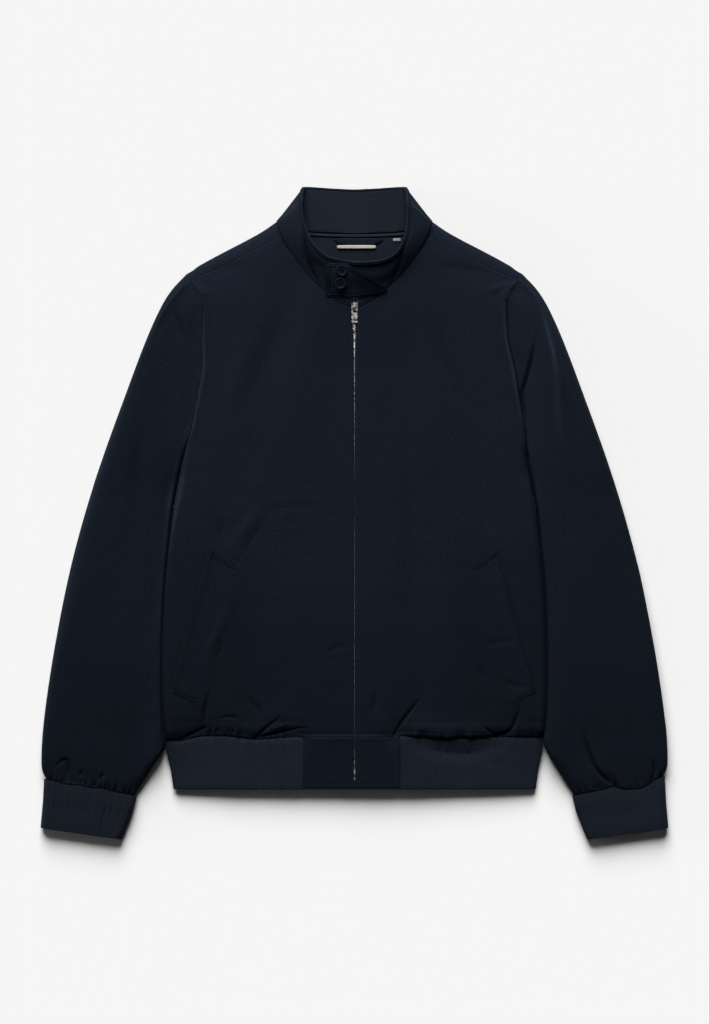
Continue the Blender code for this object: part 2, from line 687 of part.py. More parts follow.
def sleeve_pieces(word, side):
    top = sleeve_grid(side, "top")
    under = sleeve_grid(side, "under")
    outer_way, inner_way = sleeve_outward(0), sleeve_outward(1)
    count = len(SLEEVE_SECTIONS)
    inner_normals = [(*(inner_way[i] * (side, 1)), 0) for i in range(count)]
    outer_normals = []
    for i, place in enumerate(SLEEVE_SECTIONS):
        tilt = 0.25 + 0.55 * fade(place, 0, 0.3)
        outer_normals.append((*(outer_way[i] * (side, 1) * tilt), math.sqrt(1 - tilt**2)))
    top[:, -1, 2] += 0.5 * SEAM
    under[:, 0, 2] -= 0.5 * SEAM
    top[:, 0, :2] -= outer_way * (side, 1) * 0.6 * SEAM
    top[:, 0, 2] += 0.6 * SEAM
    under[:, -1, :2] += outer_way * (side, 1) * 0.4 * SEAM
    under[:, -1, 2] -= 0.4 * SEAM
    top[0, :, 0] += side * 0.5 * SEAM
    under[0, :, 0] += side * 0.5 * SEAM
    top_normals = [(i, -1, inner_normals[i]) for i in range(count)]
    top_normals += [(i, 0, outer_normals[i]) for i in range(1, count)]
    under_normals = [(i, 0, inner_normals[i]) for i in range(count)]
    under_normals += [(i, -1, outer_normals[i]) for i in range(1, count)]
    for j, angle in enumerate(WRAP_ANGLES[1:], 1 - len(WRAP_ANGLES)):
        under_normals.append((0, j, shoulder_normal(1, min(angle, SEAM_TILT)) * (side, 1, 1)))
    for face, grid, normals in (("top", top, top_normals), ("under", under, under_normals)):
        name = f"sleeve_{face}_{word}"
        cloth_wall(name, grid, CLOTH, "navy_cloth", turned=side < 0, seam_normals=normals)


def cuff_piece(name, side):
    cuff = {column: smooth(CUFF_ROWS, column) for column in range(1, 6)}
    grid = np.zeros((len(CUFF_LEVELS), len(CUFF_TOP) + len(CUFF_UNDER), 3))
    for i, level in enumerate(CUFF_LEVELS):
        outer = np.array([cuff[1](level), cuff[2](level)])
        inner = np.array([cuff[3](level), cuff[4](level)])
        height = cuff[5](level)
        width = np.linalg.norm(inner - outer)
        edge_height = CUFF_EDGE_SHARE * height
        for j, share in enumerate(CUFF_TOP + CUFF_UNDER):
            plan = outer + (inner - outer) * share
            rise = quarter_round(min(share, 1 - share) * width / CUFF_ROLL)
            z = edge_height * (1 - rise)
            if j < len(CUFF_TOP):
                z = edge_height + (height - edge_height) * rise
            grid[i, j] = side * plan[0], plan[1], z
    grid[0, :, 1] -= 2 * SEAM
    return cloth_wall(name, grid, RIB_KNIT, "navy_rib", ring=True, turned=side < 0)


# ---------------------------------------------------------------- the collar


def collar_line(side, place):
    """The collar's seam point and rim point at this place, 0 at the front and 1 at the back."""
    heights = [smooth(COLLAR_HEIGHT_ROWS, column)(place) for column in (1, 2)]
    turn = 0.5 * math.pi * min(place / COLLAR_FRONT_END, 1)
    sine, cosine = math.sin(turn), math.cos(turn)
    zip_edge = float(zip_half_gap(COLLAR_CENTRE_Y))
    seam_x = zip_edge + (NECK_HALF - zip_edge) * sine ** (2 / NECK_POWER)
    seam = np.array([seam_x, neck_seam_y(seam_x), heights[0]])
    power = RIM_POWER[side]
    rim_x = zip_edge + (RIM_HALF - zip_edge) * sine ** (2 / power)
    rim = np.array([rim_x, RIM_TOP_Y - RIM_DEPTH * cosine ** (2 / power), heights[1]])
    if place > COLLAR_FRONT_END:
        rows = [(COLLAR_FRONT_END, *seam[:2], heights[0], *rim[:2], heights[1]), *COLLAR_SIDE_ROWS]
        values = [float(smooth(rows, column)(place)) for column in range(1, 7)]
        seam, rim = np.array(values[:3]), np.array(values[3:])
    mirror = np.array([side, 1, 1])
    return seam * mirror, rim * mirror


def collar_grid():
    """The collar's outer face, round from its right front end to its left front end."""
    stations = [(-1, place) for place in COLLAR_PLACES]
    stations += [(1, place) for place in COLLAR_PLACES[-2::-1]]
    grid = np.zeros((len(COLLAR_LEVELS), len(stations), 3))
    for j, (side, place) in enumerate(stations):
        seam, rim = collar_line(side, place)
        for i, level in enumerate(COLLAR_LEVELS):
            point = seam + (rim - seam) * level
            front = 1 - fade(place, 0.38, 0.5)
            point[2] += COLLAR_BULGE * math.sin(math.pi * level) * front
            near_end = 1 - fade(place, 0, 0.11)
            zip_edge = side * zip_half_gap(COLLAR_CENTRE_Y)
            point[0] += (COLLAR_LAP[side] - zip_edge) * fade(level, 0.25, 1) * near_end
            if side < 0:
                point[2] -= LAP_DROP * fade(level, 0.2, 0.7) * (1 - fade(place, 0.03, 0.16))
            grid[i, j] = point
    grid[0, :, :] += (grid[1] - grid[0]) * 0.03
    return grid


def collar_piece(grid):
    return cloth_wall("collar", grid, COLLAR_CLOTH, "navy_cloth", turned=True)


def collar_rib(grid):
    """The ribbed inner face, where it shows: round the back between the side folds."""
    rows, columns, _ = grid.shape
    quads = [quad[::-1] for quad in grid_quads(rows, columns, None, False)]
    normals = point_normals(grid.reshape(-1, 3), quads).reshape(grid.shape)
    inner = grid - normals * (COLLAR_CLOTH + SEAM)
    start = COLLAR_PLACES.index(0.475)
    strip = inner[:, start : columns - start].copy()
    strip[0] = strip[0] + (strip[1] - strip[0]) * 0.2
    strip[-1] = strip[-1] + (strip[-2] - strip[-1]) * 0.5
    return cloth_wall("collar_rib", strip, THIN_CLOTH, "navy_rib", turned=True)


BESIDE = ((0, 0), (1, 0), (-1, 0), (0, 1), (0, -1))


def surface_over(pieces, reach=0):
    """A function for the height of the highest face of these at x, y and at this reach beside it."""
    trees = []
    for piece in pieces:
        points = [piece.matrix_basis @ vertex.co / MM for vertex in piece.data.vertices]
        faces = [tuple(face.vertices) for face in piece.data.polygons]
        trees.append(BVHTree.FromPolygons(points, faces))

    def height(x, y):
        hits = [
            tree.ray_cast(Vector((x + dx * reach, y + dy * reach, 200)), Vector((0, 0, -1)))[0]
            for tree in trees
            for dx, dy in BESIDE
        ]
        return max(hit.z for hit in hits if hit is not None)

    return height


def throat_tab(surface):
    lower, upper = smooth(TAB_ROWS, 1), smooth(TAB_ROWS, 2)
    shares = (0, 0.15, 0.4, 0.7, 1)
    grid = np.zeros((len(shares), len(TAB_ROWS), 3))
    for j, (x, *_) in enumerate(TAB_ROWS):
        for i, share in enumerate(shares):
            y = float(lower(x) + (upper(x) - lower(x)) * share)
            grid[i, j] = x, y, surface(x, y) + TAB_CLOTH + TAB_LIFT
    return cloth_wall("throat_tab", grid, TAB_CLOTH, "navy_cloth")


def button(name, x, y, surface):
    """A turned button with a dished face and four holes, square to the tab under it."""
    step = 5.0
    slope = math.atan2(surface(x, y + step) - surface(x, y - step), 2 * step)
    rings, sides = BUTTON_PROFILE[1:-1], BUTTON_SIDES
    points, faces = [(0, 0, BUTTON_PROFILE[0][1]), (0, 0, BUTTON_PROFILE[-1][1])], []
    for radius, height in rings:
        for k in range(sides):
            turn = 2 * math.pi * k / sides
            points.append((radius * math.cos(turn), radius * math.sin(turn), height))
    for k in range(sides):
        after = (k + 1) % sides
        faces.append((0, 2 + after, 2 + k))
        for ring in range(len(rings) - 1):
            base = 2 + ring * sides
            faces.append((base + k, base + after, base + sides + after, base + sides + k))
        last = 2 + (len(rings) - 1) * sides
        faces.append((1, last + k, last + after))
    piece = add_object(name, points, faces, "button_plastic", sharp=50)
    for k in range(4):
        turn = 0.5 * math.pi * k + 0.25 * math.pi
        out = BUTTON_HOLE_OUT * MM
        bpy.ops.mesh.primitive_cylinder_add(
            vertices=10,
            radius=BUTTON_HOLE * MM,
            depth=10 * MM,
            location=(out * math.cos(turn), out * math.sin(turn), 0),
        )
        cutter = bpy.context.object
        cutter.name = f"{name}_hole_{k}"
        guide(cutter)
        cutter.parent = piece
        cut = piece.modifiers.new("hole", "BOOLEAN")
        cut.object = cutter
        cut.operation = "DIFFERENCE"
    ring = [math.radians(turn) for turn in range(0, 360, 20)]
    under = [(BUTTON_REACH * math.cos(turn), BUTTON_REACH * math.sin(turn)) for turn in ring]
    base = max(surface(x + dx, y + dy) - math.tan(slope) * dy for dx, dy in under)
    piece.rotation_euler = (slope, 0, 0)
    piece.location = (x * MM, y * MM, (base + 1.5 * SEAM) * MM)
    return piece


# ---------------------------------------------------------------- pockets


def welt_piece(name, side, surface):
    rows = WELT_ROWS[side]
    place = {column: smooth(rows, column) for column in range(1, 5)}
    shares = (0, 0.12, 0.35, 0.65, 0.88, 1)
    grid = np.zeros((len(WELT_SHARES), len(shares), 3))
    for i, down in enumerate(WELT_SHARES):
        outer = np.array([place[1](down), place[2](down)])
        inner = np.array([place[3](down), place[4](down)])
        for j, share in enumerate(shares):
            x, y = outer + (inner - outer) * share
            grid[i, j] = x, y, surface(x, y) + WELT_CLOTH + WELT_LIFT
    return cloth_wall(name, grid, WELT_CLOTH, "navy_cloth", turned=side < 0)


# ---------------------------------------------------------------- the zip


def zip_levels(top, bottom):
    """The y of each row of the fronts' centre edge between these two, and the two themselves."""
    top_y, _ = front_column_top(0, 1.0)
    rise = (top_y - ARMPIT_Y) / (SHOULDER_Y - ARMPIT_Y)
    rows = [ARMPIT_Y + (level - ARMPIT_Y) * rise for level in FRONT_ARM_ROWS]
    rows += [*LOWER_ROWS, *STRIP_ROWS]
    return [top] + [y for y in rows if bottom + 2 < y < top - 2] + [bottom]


def zip_strip(name, levels, edges, depth, thickness, finish):
    """A strip along the zip: edges gives its two x at a level, depth how far it lies under the face."""
    grid = np.zeros((len(levels), 2, 3))
    for i, y in enumerate(levels):
        for j, x in enumerate(edges(y)):
            slope = (front_height(x, y + 1) - front_height(x, y - 1)) / 2
            grid[i, j] = x, y, front_height(x, y) - depth * math.hypot(1, slope)
    return cloth_wall(name, grid, thickness, finish, turned=True)


def zip_parts():
    under_cloth = CLOTH + 1.5 * SEAM
    tape_levels = zip_levels(TAPE_TOP_Y, TAPE_BOTTOM_Y)
    for word, side in SIDES:

        def tape_edges(y, side=side):
            inner = CHAIN_HALF + SEAM + TAPE_SPREAD * fade(y, 226, 236)
            return sorted((side * inner, side * TAPE_HALF))

        zip_strip(f"zip_tape_{word}", tape_levels, tape_edges, under_cloth, TAPE_THICK, "navy_lining")
    chain_levels = zip_levels(SLIDER_BOTTOM_Y - 2 * SEAM, BOX_TOP_Y + 2 * SEAM)
    chain_edges = (-CHAIN_HALF, CHAIN_HALF)
    depth = under_cloth + 0.1
    zip_strip("zip_chain", chain_levels, lambda y: chain_edges, depth, CHAIN_THICK, "zip_metal")
    box_levels = zip_levels(BOX_TOP_Y, BOX_BOTTOM_Y)
    box_edges = (-BOX_HALF, BOX_HALF)
    zip_strip("zip_box", box_levels, lambda y: box_edges, BOX_DEPTH, BOX_THICK, "zip_metal")
    slider_and_pull()


def block(name, outline, low, high, finish, origin=(0, 0, 0)):
    """An upright prism on an outline in plan."""
    count = len(outline)
    points = [(x, y, low) for x, y in outline] + [(x, y, high) for x, y in outline]
    faces = [tuple(range(count))[::-1], tuple(range(count, 2 * count))]
    faces += [(i, (i + 1) % count, (i + 1) % count + count, i + count) for i in range(count)]
    return add_object(name, points, faces, finish, origin)


# Half of the slider's plate from its top end to its bottom end: half width, y
SLIDER_PLAN = ((3.4, 253), (4.2, 251.5), (4.0, 245), (3.3, 238.8), (2.6, SLIDER_BOTTOM_Y))
SLIDER_PLATE = 1.0
SLIDER_DEPTH = 4.4
BRIDGE_HALF = 1.2
BRIDGE_ENDS = (241.5, 250.5)
BRIDGE_GAP = 2.3
BRIDGE_BAR = 1.0
BRIDGE_SHOULDER = 1.6
BRIDGE_BEVEL = 0.7
PULL_AXIS_Y = 246.2
PULL_BAR = 0.7

# Half of the pull from its hinge to its tip: half width, y
PULL_PLAN = (
    (3.2, PULL_AXIS_Y + PULL_BAR),
    (3.6, PULL_AXIS_Y),
    (3.5, 239.0),
    (3.0, 236.4),
    (3.6, 234.8),
    (3.6, 231.8),
    (2.6, 230.6),
    (2.6, 229.6),
    (3.6, 228.4),
    (3.3, 226.9),
    (1.6, 226.3),
)
PULL_WINDOW = ((2.2, PULL_AXIS_Y - PULL_BAR), (2.0, 238.6))


def both_halves(rows):
    """The whole outline from the half width and the y of each row."""
    return [(-x, y) for x, y in rows] + [(x, y) for x, y in rows[::-1]]


def arch(low_y, high_y, base, shoulder_z, top, bevel):
    """The side view of an arch, y and z."""
    return [
        (low_y, base),
        (high_y, base),
        (high_y, shoulder_z),
        (high_y - bevel, top),
        (low_y + bevel, top),
        (low_y, shoulder_z),
    ]


def slider_and_pull():
    face = float(front_height(0, PULL_AXIS_Y))
    plate_top = face + SLIDER_PLATE
    plan = both_halves(SLIDER_PLAN)
    slider = block("zip_slider", plan, face - SLIDER_DEPTH, plate_top, "zip_metal")
    low_y, high_y = BRIDGE_ENDS
    shoulder_z = plate_top + BRIDGE_SHOULDER
    outer_top = plate_top + BRIDGE_GAP + BRIDGE_BAR
    inner_top = plate_top + BRIDGE_GAP
    outside = arch(low_y, high_y, face, shoulder_z, outer_top, 2 * BRIDGE_BEVEL)
    bridge = extruded_in_x("bridge", outside, BRIDGE_HALF)
    wall = 2 * BRIDGE_BEVEL
    inside = arch(low_y + wall, high_y - wall, plate_top, shoulder_z, inner_top, BRIDGE_BEVEL)
    opening = extruded_in_x("bridge_opening", inside, 2 * BRIDGE_HALF)
    guide(bridge)
    guide(opening)
    join = slider.modifiers.new("bridge", "BOOLEAN")
    join.operation = "UNION"
    join.object = bridge
    cut = slider.modifiers.new("opening", "BOOLEAN")
    cut.operation = "DIFFERENCE"
    cut.object = opening
    zip_pull(plate_top + BRIDGE_GAP / 2 + 0.1)


def extruded_in_x(name, outline, half):
    """A prism along X, from an outline of y and z."""
    count = len(outline)
    points = [(-half, y, z) for y, z in outline] + [(half, y, z) for y, z in outline]
    faces = [tuple(range(count))[::-1], tuple(range(count, 2 * count))]
    faces += [(i, (i + 1) % count, (i + 1) % count + count, i + count) for i in range(count)]
    return add_object(name, points, faces, "zip_metal")


def zip_pull(axis_z):
    """The pull: a ring through the slider's bridge and a waisted tab, with its origin on the hinge."""
    low, high = axis_z - PULL_BAR, axis_z + PULL_BAR
    hinge = (0, PULL_AXIS_Y, axis_z)
    pull = block("zip_pull", both_halves(PULL_PLAN), low, high, "zip_metal", hinge)
    opening = block("pull_window", both_halves(PULL_WINDOW), low - 1, high + 1, "zip_metal")
    guide(opening)
    cut = pull.modifiers.new("window", "BOOLEAN")
    cut.operation = "DIFFERENCE"
    cut.object = opening


# ---------------------------------------------------------------- the back neck


def plain_patch(name, lower, upper, finish, height, thickness):
    """A flat patch whose lower and upper edges are lists of x, y, its top at this height."""
    grid = np.array([[(x, y, height) for x, y in lower], [(x, y, height) for x, y in upper]], float)
    return cloth_wall(name, grid, thickness, finish)


FACING_XS = (-80, -55, -28, 0, 28, 55, 80)
FACING_LOW_Y = 232.0
FACING_RISE = 10.0
PIPING_HALF = 1.6
PIPING_THICK = 1.4
LABEL_THICK = 0.8

# The labels: name, finish, lower left and right x, lower y, upper left and right x, upper y
LABELS = (
    ("label_patch", "label_dark", -17.4, 25.8, 318.6, -27.0, 36.6, 329.2),
    ("label_bar", "label_cream", -21.0, 25.8, 315.6, -21.0, 25.8, 321.4),
    ("size_tab", "label_grey", 46.2, 55.6, 324.6, 46.2, 55.6, 329.6),
)


def back_neck():
    neck = smooth(BACK_NECK_ROWS, 1)
    seam = [(x, float(neck(abs(x)))) for x in FACING_XS]
    lower = [(x, FACING_LOW_Y + FACING_RISE * (x / FACING_XS[-1]) ** 2) for x in FACING_XS]
    upper = [(x, y - PIPING_HALF - 2 * SEAM) for x, y in seam]
    facing_top = CLOTH + SEAM + THIN_CLOTH
    plain_patch("neck_facing", lower, upper, "navy_lining", facing_top, THIN_CLOTH)
    lower = [(x, y - PIPING_HALF) for x, y in seam]
    upper = [(x, y + PIPING_HALF) for x, y in seam]
    piping_top = COLLAR_CLOTH + 2 * SEAM + PIPING_THICK
    plain_patch("neck_piping", lower, upper, "piping", piping_top, PIPING_THICK)
    for name, finish, low_left, low_right, low_y, high_left, high_right, high_y in LABELS:
        top = facing_top + SEAM + LABEL_THICK
        if name == "label_bar":
            top += SEAM + LABEL_THICK
        lower = [(low_left, low_y), (low_right, low_y)]
        upper = [(high_left, high_y), (high_right, high_y)]
        plain_patch(name, lower, upper, finish, top, LABEL_THICK)


def main():
    for old in list(bpy.data.objects):
        bpy.data.objects.remove(old)
    back_piece()
    fronts = []
    for word, side in SIDES:
        front = front_piece(f"front_{word}", side)
        fronts.append(front)
        sleeve_pieces(word, side)
        cuff_piece(f"cuff_{word}", side)
        welt_piece(f"welt_{word}", side, surface_over([front], reach=WELT_REACH))
    hem_rib()
    grid = collar_grid()
    collar = collar_piece(grid)
    collar_rib(grid)
    tab = throat_tab(surface_over([collar, *fronts], reach=TAB_REACH))
    for word, x, y in BUTTONS:
        button(f"button_{word}", x, y, surface_over([tab]))
    zip_parts()
    back_neck()


main()
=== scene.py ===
"""A harrington jacket of fine navy twill, laid flat with its front up and zipped shut."""

import math
from functools import partial

import bmesh
import bpy
import numpy as np
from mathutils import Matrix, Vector
from mathutils.bvhtree import BVHTree
from mathutils.kdtree import KDTree


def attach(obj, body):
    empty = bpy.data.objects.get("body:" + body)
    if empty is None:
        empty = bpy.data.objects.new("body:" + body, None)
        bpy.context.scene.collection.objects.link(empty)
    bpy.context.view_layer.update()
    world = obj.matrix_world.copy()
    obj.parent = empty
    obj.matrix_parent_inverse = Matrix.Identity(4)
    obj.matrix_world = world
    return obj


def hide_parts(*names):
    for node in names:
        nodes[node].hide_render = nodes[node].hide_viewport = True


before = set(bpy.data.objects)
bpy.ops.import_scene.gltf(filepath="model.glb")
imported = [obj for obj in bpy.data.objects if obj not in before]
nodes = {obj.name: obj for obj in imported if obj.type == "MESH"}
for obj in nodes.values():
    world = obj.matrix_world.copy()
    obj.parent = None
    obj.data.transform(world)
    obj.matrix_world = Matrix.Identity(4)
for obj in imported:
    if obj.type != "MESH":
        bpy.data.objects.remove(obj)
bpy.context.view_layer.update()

MM = 0.001
JACKET = "jacket"
FAR = 1.0  # metres, for a point that is nowhere near a seam
CLEAR = 0.00004  # metres, how far a stitch stands off the cloth

# In millimetres up the body: where the opening of the zip ends, and the seam above the hem rib
ZIP_TOP = 236
RIB_SEAM = -268


# ------------------------------------------------------------------ numbers and curves


def fade(value, start, end):
    """0 up to start, 1 from end on, smooth between."""
    share = np.clip((value - start) / (end - start), 0, 1)
    return share * share * (3 - 2 * share)


def band(value, start, full, last, end):
    """0 outside start and end, 1 between full and last, smooth between."""
    return fade(value, start, full) * (1 - fade(value, last, end))


def bell(value, width):
    return np.exp(-((value / width) ** 2))


def bend(t, step, start, end, leaving, arriving):
    """A share t of the way between two values, on the smooth curve with these slopes."""
    return (
        (1 + 2 * t) * (1 - t) ** 2 * start
        + t * (1 - t) ** 2 * step * leaving
        + t * t * (3 - 2 * t) * end
        + t * t * (t - 1) * step * arriving
    )


def read_rows(rows, place, column):
    """A column of a table at a place in its first column, smoothly."""
    places, values = np.array(sorted((row[0], row[column]) for row in rows), float).T
    slopes = np.gradient(values, places)
    k = int(np.clip(np.searchsorted(places, place) - 1, 0, len(places) - 2))
    step = places[k + 1] - places[k]
    t = float(np.clip((place - places[k]) / step, 0, 1))
    return bend(t, step, values[k], values[k + 1], slopes[k], slopes[k + 1])


def read_all(rows, places, column):
    """A column of a table at many places at once, straight between its rows."""
    rows = sorted(rows)
    return np.interp(places, [row[0] for row in rows], [row[column] for row in rows])


def quarter_round(share):
    return np.sqrt(1 - (1 - np.clip(share, 0, 1)) ** 2)


def tighter(inward, tight, loose):
    """How much higher a tight roll stands than a loose one, this far in from the edge."""
    return quarter_round(inward / tight) - quarter_round(inward / loose)


def swell(x, y, length, seed, waves=9):
    """An uneven ground swell from about -1 to 1, made of a few plane waves."""
    chance = np.random.default_rng(seed)
    total = np.zeros_like(x)
    for _ in range(waves):
        turn = chance.uniform(0, 2 * math.pi)
        scale = 2 * math.pi / (length * chance.uniform(0.7, 1.6))
        shift = chance.uniform(0, 2 * math.pi)
        total += np.sin(scale * (x * math.cos(turn) + y * math.sin(turn)) + shift)
    return total / math.sqrt(waves)


def along_line(line, x, y):
    """For points in plan: distance to a line, signed distance, length along it, whole length."""
    line = np.array(line, float)
    best = np.full(x.shape, 1e9)
    signed, length = np.zeros(x.shape), np.zeros(x.shape)
    run = 0.0
    for start, end in zip(line[:-1], line[1:]):
        step = end - start
        size = float(np.hypot(*step))
        along = ((x - start[0]) * step[0] + (y - start[1]) * step[1]) / size**2
        held = np.clip(along, 0, 1)
        dx = x - start[0] - step[0] * held
        dy = y - start[1] - step[1] * held
        away = np.hypot(dx, dy)
        nearer = away < best
        best = np.where(nearer, away, best)
        signed = np.where(nearer, away * np.sign(step[0] * dy - step[1] * dx), signed)
        length = np.where(nearer, run + held * size, length)
        run += size
    return best, signed, length, run


def beside(line, x, y):
    """How far points are from a line in plan."""
    return along_line(line, x, y)[0]


def curved(line, steps=6):
    """More points on a line, on a smooth curve through its own."""
    line = np.array(line, float)
    if len(line) < 3:
        return line
    before = np.vstack([2 * line[0] - line[1], line[:-1]])
    after = np.vstack([line[1:], 2 * line[-1] - line[-2]])
    slopes = (after - before) / 2
    points = [
        bend(i / steps, 1.0, line[k], line[k + 1], slopes[k], slopes[k + 1])
        for k in range(len(line) - 1)
        for i in range(steps)
    ]
    return np.array(points + [line[-1]])


# ------------------------------------------------------------------ how the cloth lies

# Creases of the upper side: half width, height, points in millimetres
UPPER_CREASES = (
    (2.0, -1.7, (-222, -274), (-201, -268), (-187, -264), (-172, -257)),
    (2.8, -2.2, (-183, -266), (-181, -252), (-179, -238), (-174, -212)),
    (2.2, -2.3, (-124, -275), (-107, -260), (-88, -246)),
    (1.8, -1.7, (-126, -271), (-88, -265), (-52, -258)),
    (3.0, 1.0, (-104, -263), (-90, -258), (-76, -254)),
    (2.4, -1.3, (-164, -249), (-150, -246), (-136, -249)),
    (3.6, -1.6, (-130, -220), (-119, -232), (-108, -245)),
    (5.0, -1.4, (-107, -9), (-122, -30), (-135, -50)),
    (4.0, -1.1, (-155, -9), (-160, -20), (-164, -33)),
    (1.6, -1.1, (-142, -54), (-139, -63)),
    (6.0, 1.5, (-141, -75), (-153, -123), (-173, -165), (-178, -213)),
    (3.0, -1.0, (-168, -154), (-160, -160), (-166, -180)),
    (3.0, -0.8, (-38, -172), (-22, -163), (-4, -159)),
    (3.0, -0.5, (-34, -174), (-16, -183)),
    (2.2, -2.6, (42, -277), (55, -256), (66, -240), (80, -222)),
    (1.8, -2.2, (154, -257), (163, -266), (172, -274)),
    (2.4, -3.0, (158, -273), (184, -266), (194, -248), (197, -232)),
    (4.0, -1.6, (152, -294), (170, -302), (181, -303)),
    (8.0, -2.6, (56, -276), (104, -286), (142, -288), (190, -278)),
    (3.0, -1.1, (155, -158), (176, -156), (196, -153)),
    (3.5, -1.0, (148, -188), (156, -200)),
    (3.5, -1.3, (177, -203), (192, -208), (208, -211)),
    (3.0, -1.2, (26, -214), (24, -230), (21, -243)),
    (4.0, 1.6, (157, 264), (180, 271), (204, 273)),
    (3.0, -4.4, (216, 210), (213, 190), (207.5, 172), (201, 154), (196, 139), (198, 122), (201, 106)),
    (4.0, -1.3, (-218, 241), (-212, 231), (-200, 202)),
    (6.0, -1.2, (90, 298), (130, 291), (170, 284)),
    (6.0, -1.0, (-180, 286), (-150, 292), (-125, 298)),
    (4.0, -0.7, (-112, -4), (-76, 8), (-36, 4)),
    (7.0, 2.3, (226, 246), (237, 202), (244, 159), (247, 113), (258, 62), (276, 0)),
    (13.0, -1.7, (-86, 265), (-98, 215), (-114, 172), (-131, 132), (-138, 96)),
    (12.0, 0.9, (-62, 205), (-76, 120), (-60, 50)),
    (9.0, -1.5, (84, 242), (100, 202), (116, 165), (130, 128)),
    (8.0, -0.9, (60, 115), (64, 0), (62, -155)),
    (8.0, -1.3, (-250, 132), (-262, 40), (-268, -60)),
    (2.4, -3.2, (272, -262), (285, -300), (298, -318), (318, -336)),
    (5.0, 1.3, (290, -288), (302, -307), (316, -321)),
    (2.4, -1.8, (318, -330), (332, -332), (348, -328)),
    (1.8, -2.4, (356, -296), (359, -311), (356, -328)),
    (2.0, -2.2, (-360, -308), (-346, -297), (-340, -326)),
    (2.2, -1.5, (-330, -320), (-326, -309)),
    (2.2, -1.5, (-306, -324), (-300, -312)),
    (5.0, 1.2, (-318, -262), (-322, -292), (-318, -318)),
)

# Creases of the collar's front, in the same columns
COLLAR_CREASES = (
    (2.4, -1.6, (-62, 344), (-59, 320), (-54, 299), (-46, 281), (-34, 264)),
    (2.4, -1.6, (60, 334), (56, 306), (47, 281), (36, 264)),
    (4.6, -1.0, (-64, 322), (-50, 301), (-30, 288)),
    (6.0, -1.3, (-16, 291), (22, 291), (42, 300), (58, 324)),
    (1.8, -0.7, (-6, 280), (19, 280)),
)

# Creases of the underside, in the same columns
UNDER_CREASES = (
    (7.0, 1.8, (-180, -262), (-176, -226), (-160, -190)),
    (6.0, 1.6, (-70, -266), (-62, -236), (-66, -204)),
    (7.0, 1.8, (60, -264), (74, -230), (70, -196)),
    (6.0, 1.5, (172, -262), (160, -224), (164, -190)),
    (9.0, 1.8, (-150, 60), (-110, 20), (-60, 0)),
    (9.0, 1.6, (150, 70), (108, 34), (64, 18)),
    (12.0, 1.6, (-40, 180), (-30, 90), (-44, 10)),
    (9.0, 1.5, (-246, 100), (-262, 20), (-276, -70)),
    (9.0, 1.5, (250, 120), (262, 40), (280, -50)),
    (6.0, 1.5, (-290, -250), (-296, -290), (-300, -320)),
    (6.0, 1.5, (300, -246), (306, -286), (320, -318)),
)

# Seams that the cloth gathers at: reach of the gathers, height, shortest wave, points
GATHERS = (
    (8.0, 0.8, 9, (-227, -271), (-60, -271)),
    (8.0, 0.8, 9, (55, -271), (227, -271)),
    (4.0, 1.3, 4.5, (-180, -262), (-158, -266), (-134, -265)),
    (5.5, 1.3, 6, (-370, -321), (-330, -326), (-290, -332), (-264, -339)),
    (5.5, 1.3, 6, (370, -321), (330, -326), (290, -332), (264, -339)),
)


def stroke(x, y, half, height, line):
    """One crease: a soft trough or ridge along a line, tapered at both ends."""
    line = curved(line)
    low, high = line.min(0) - 3 * half, line.max(0) + 3 * half
    near = (x > low[0]) & (x < high[0]) & (y > low[1]) & (y < high[1])
    lift = np.zeros_like(x)
    away, _, run, whole = along_line(line, x[near], y[near])
    lift[near] = height * bell(away, half) * band(run / whole, -0.08, 0.4, 0.6, 1.08)
    return lift


def strokes(x, y, rows):
    return sum(stroke(x, y, half, height, line) for half, height, *line in rows)


# Painted highlights on rolled edges and crests, tinted paler: half width, share, points
LIT_EDGES = (
    (2.4, 1.0, (-202, 70), (-208, 27), (-217, -9), (-225, -57), (-229.5, -105), (-231, -145)),
    (
        3.6, 1.0, (-208, 80), (-212, 45), (-217, 20), (-222, -9), (-227, -57), (-231, -105), (-232.5, -165),
        (-232, -262),
    ),
    (5.0, 1.0, (-200, 112), (-207, 72), (-213, 42), (-219, 8), (-226, -45)),
    (10.0, 0.07, (-64, 252), (-80, 192), (-98, 140)),
    (9.0, 0.06, (-135, 232), (-150, 162), (-158, 108)),
    (7.0, 0.13, (92, 278), (140, 273), (186, 263)),
    (7.0, 0.1, (-182, 268), (-150, 274), (-118, 278)),
    (12.0, 0.06, (14, 240), (34, 255), (70, 262)),
    (5.0, 0.24, (-108, 16), (-136, -18), (-163, -50)),
    (3.0, 0.12, (-114, 4), (-80, 20), (-40, 17), (-4, 12)),
    (6.0, 0.1, (150, -22), (164, -22), (176, -24)),
    (8.0, 0.06, (-222, -20), (-240, -120), (-262, -220)),
    (
        6.0, 0.4, (-240, 225), (-259, 170), (-282, 108), (-307, 38), (-328, -30), (-345, -100), (-362, -190),
        (-371, -290),
    ),
    (3.6, 0.3, (223, 246), (235, 202), (242, 159), (244, 113), (254, 62)),
    (2.0, 0.8, (223, 247), (230, 221), (236, 198), (241.5, 165)),
    (
        2.0, 0.8, (-177, 260), (-179.3, 244), (-181, 206), (-185, 169), (-191.3, 133), (-197.5, 101),
        (-202, 76), (-206, 56),
    ),
    (1.8, 0.7, (178, 262), (179.5, 244), (181.4, 206), (185.3, 169), (191.3, 133), (197, 104)),
    (2.4, 0.5, (-300, -334), (-330, -328), (-352, -324)),
)


def lit_share(points):
    """How far the cloth is tinted paler as a painted highlight, from 0 to 1."""
    x, y, z = (points / MM).T
    return np.clip(strokes(x, y, LIT_EDGES), 0, 1) * fade(z, 5, 9)


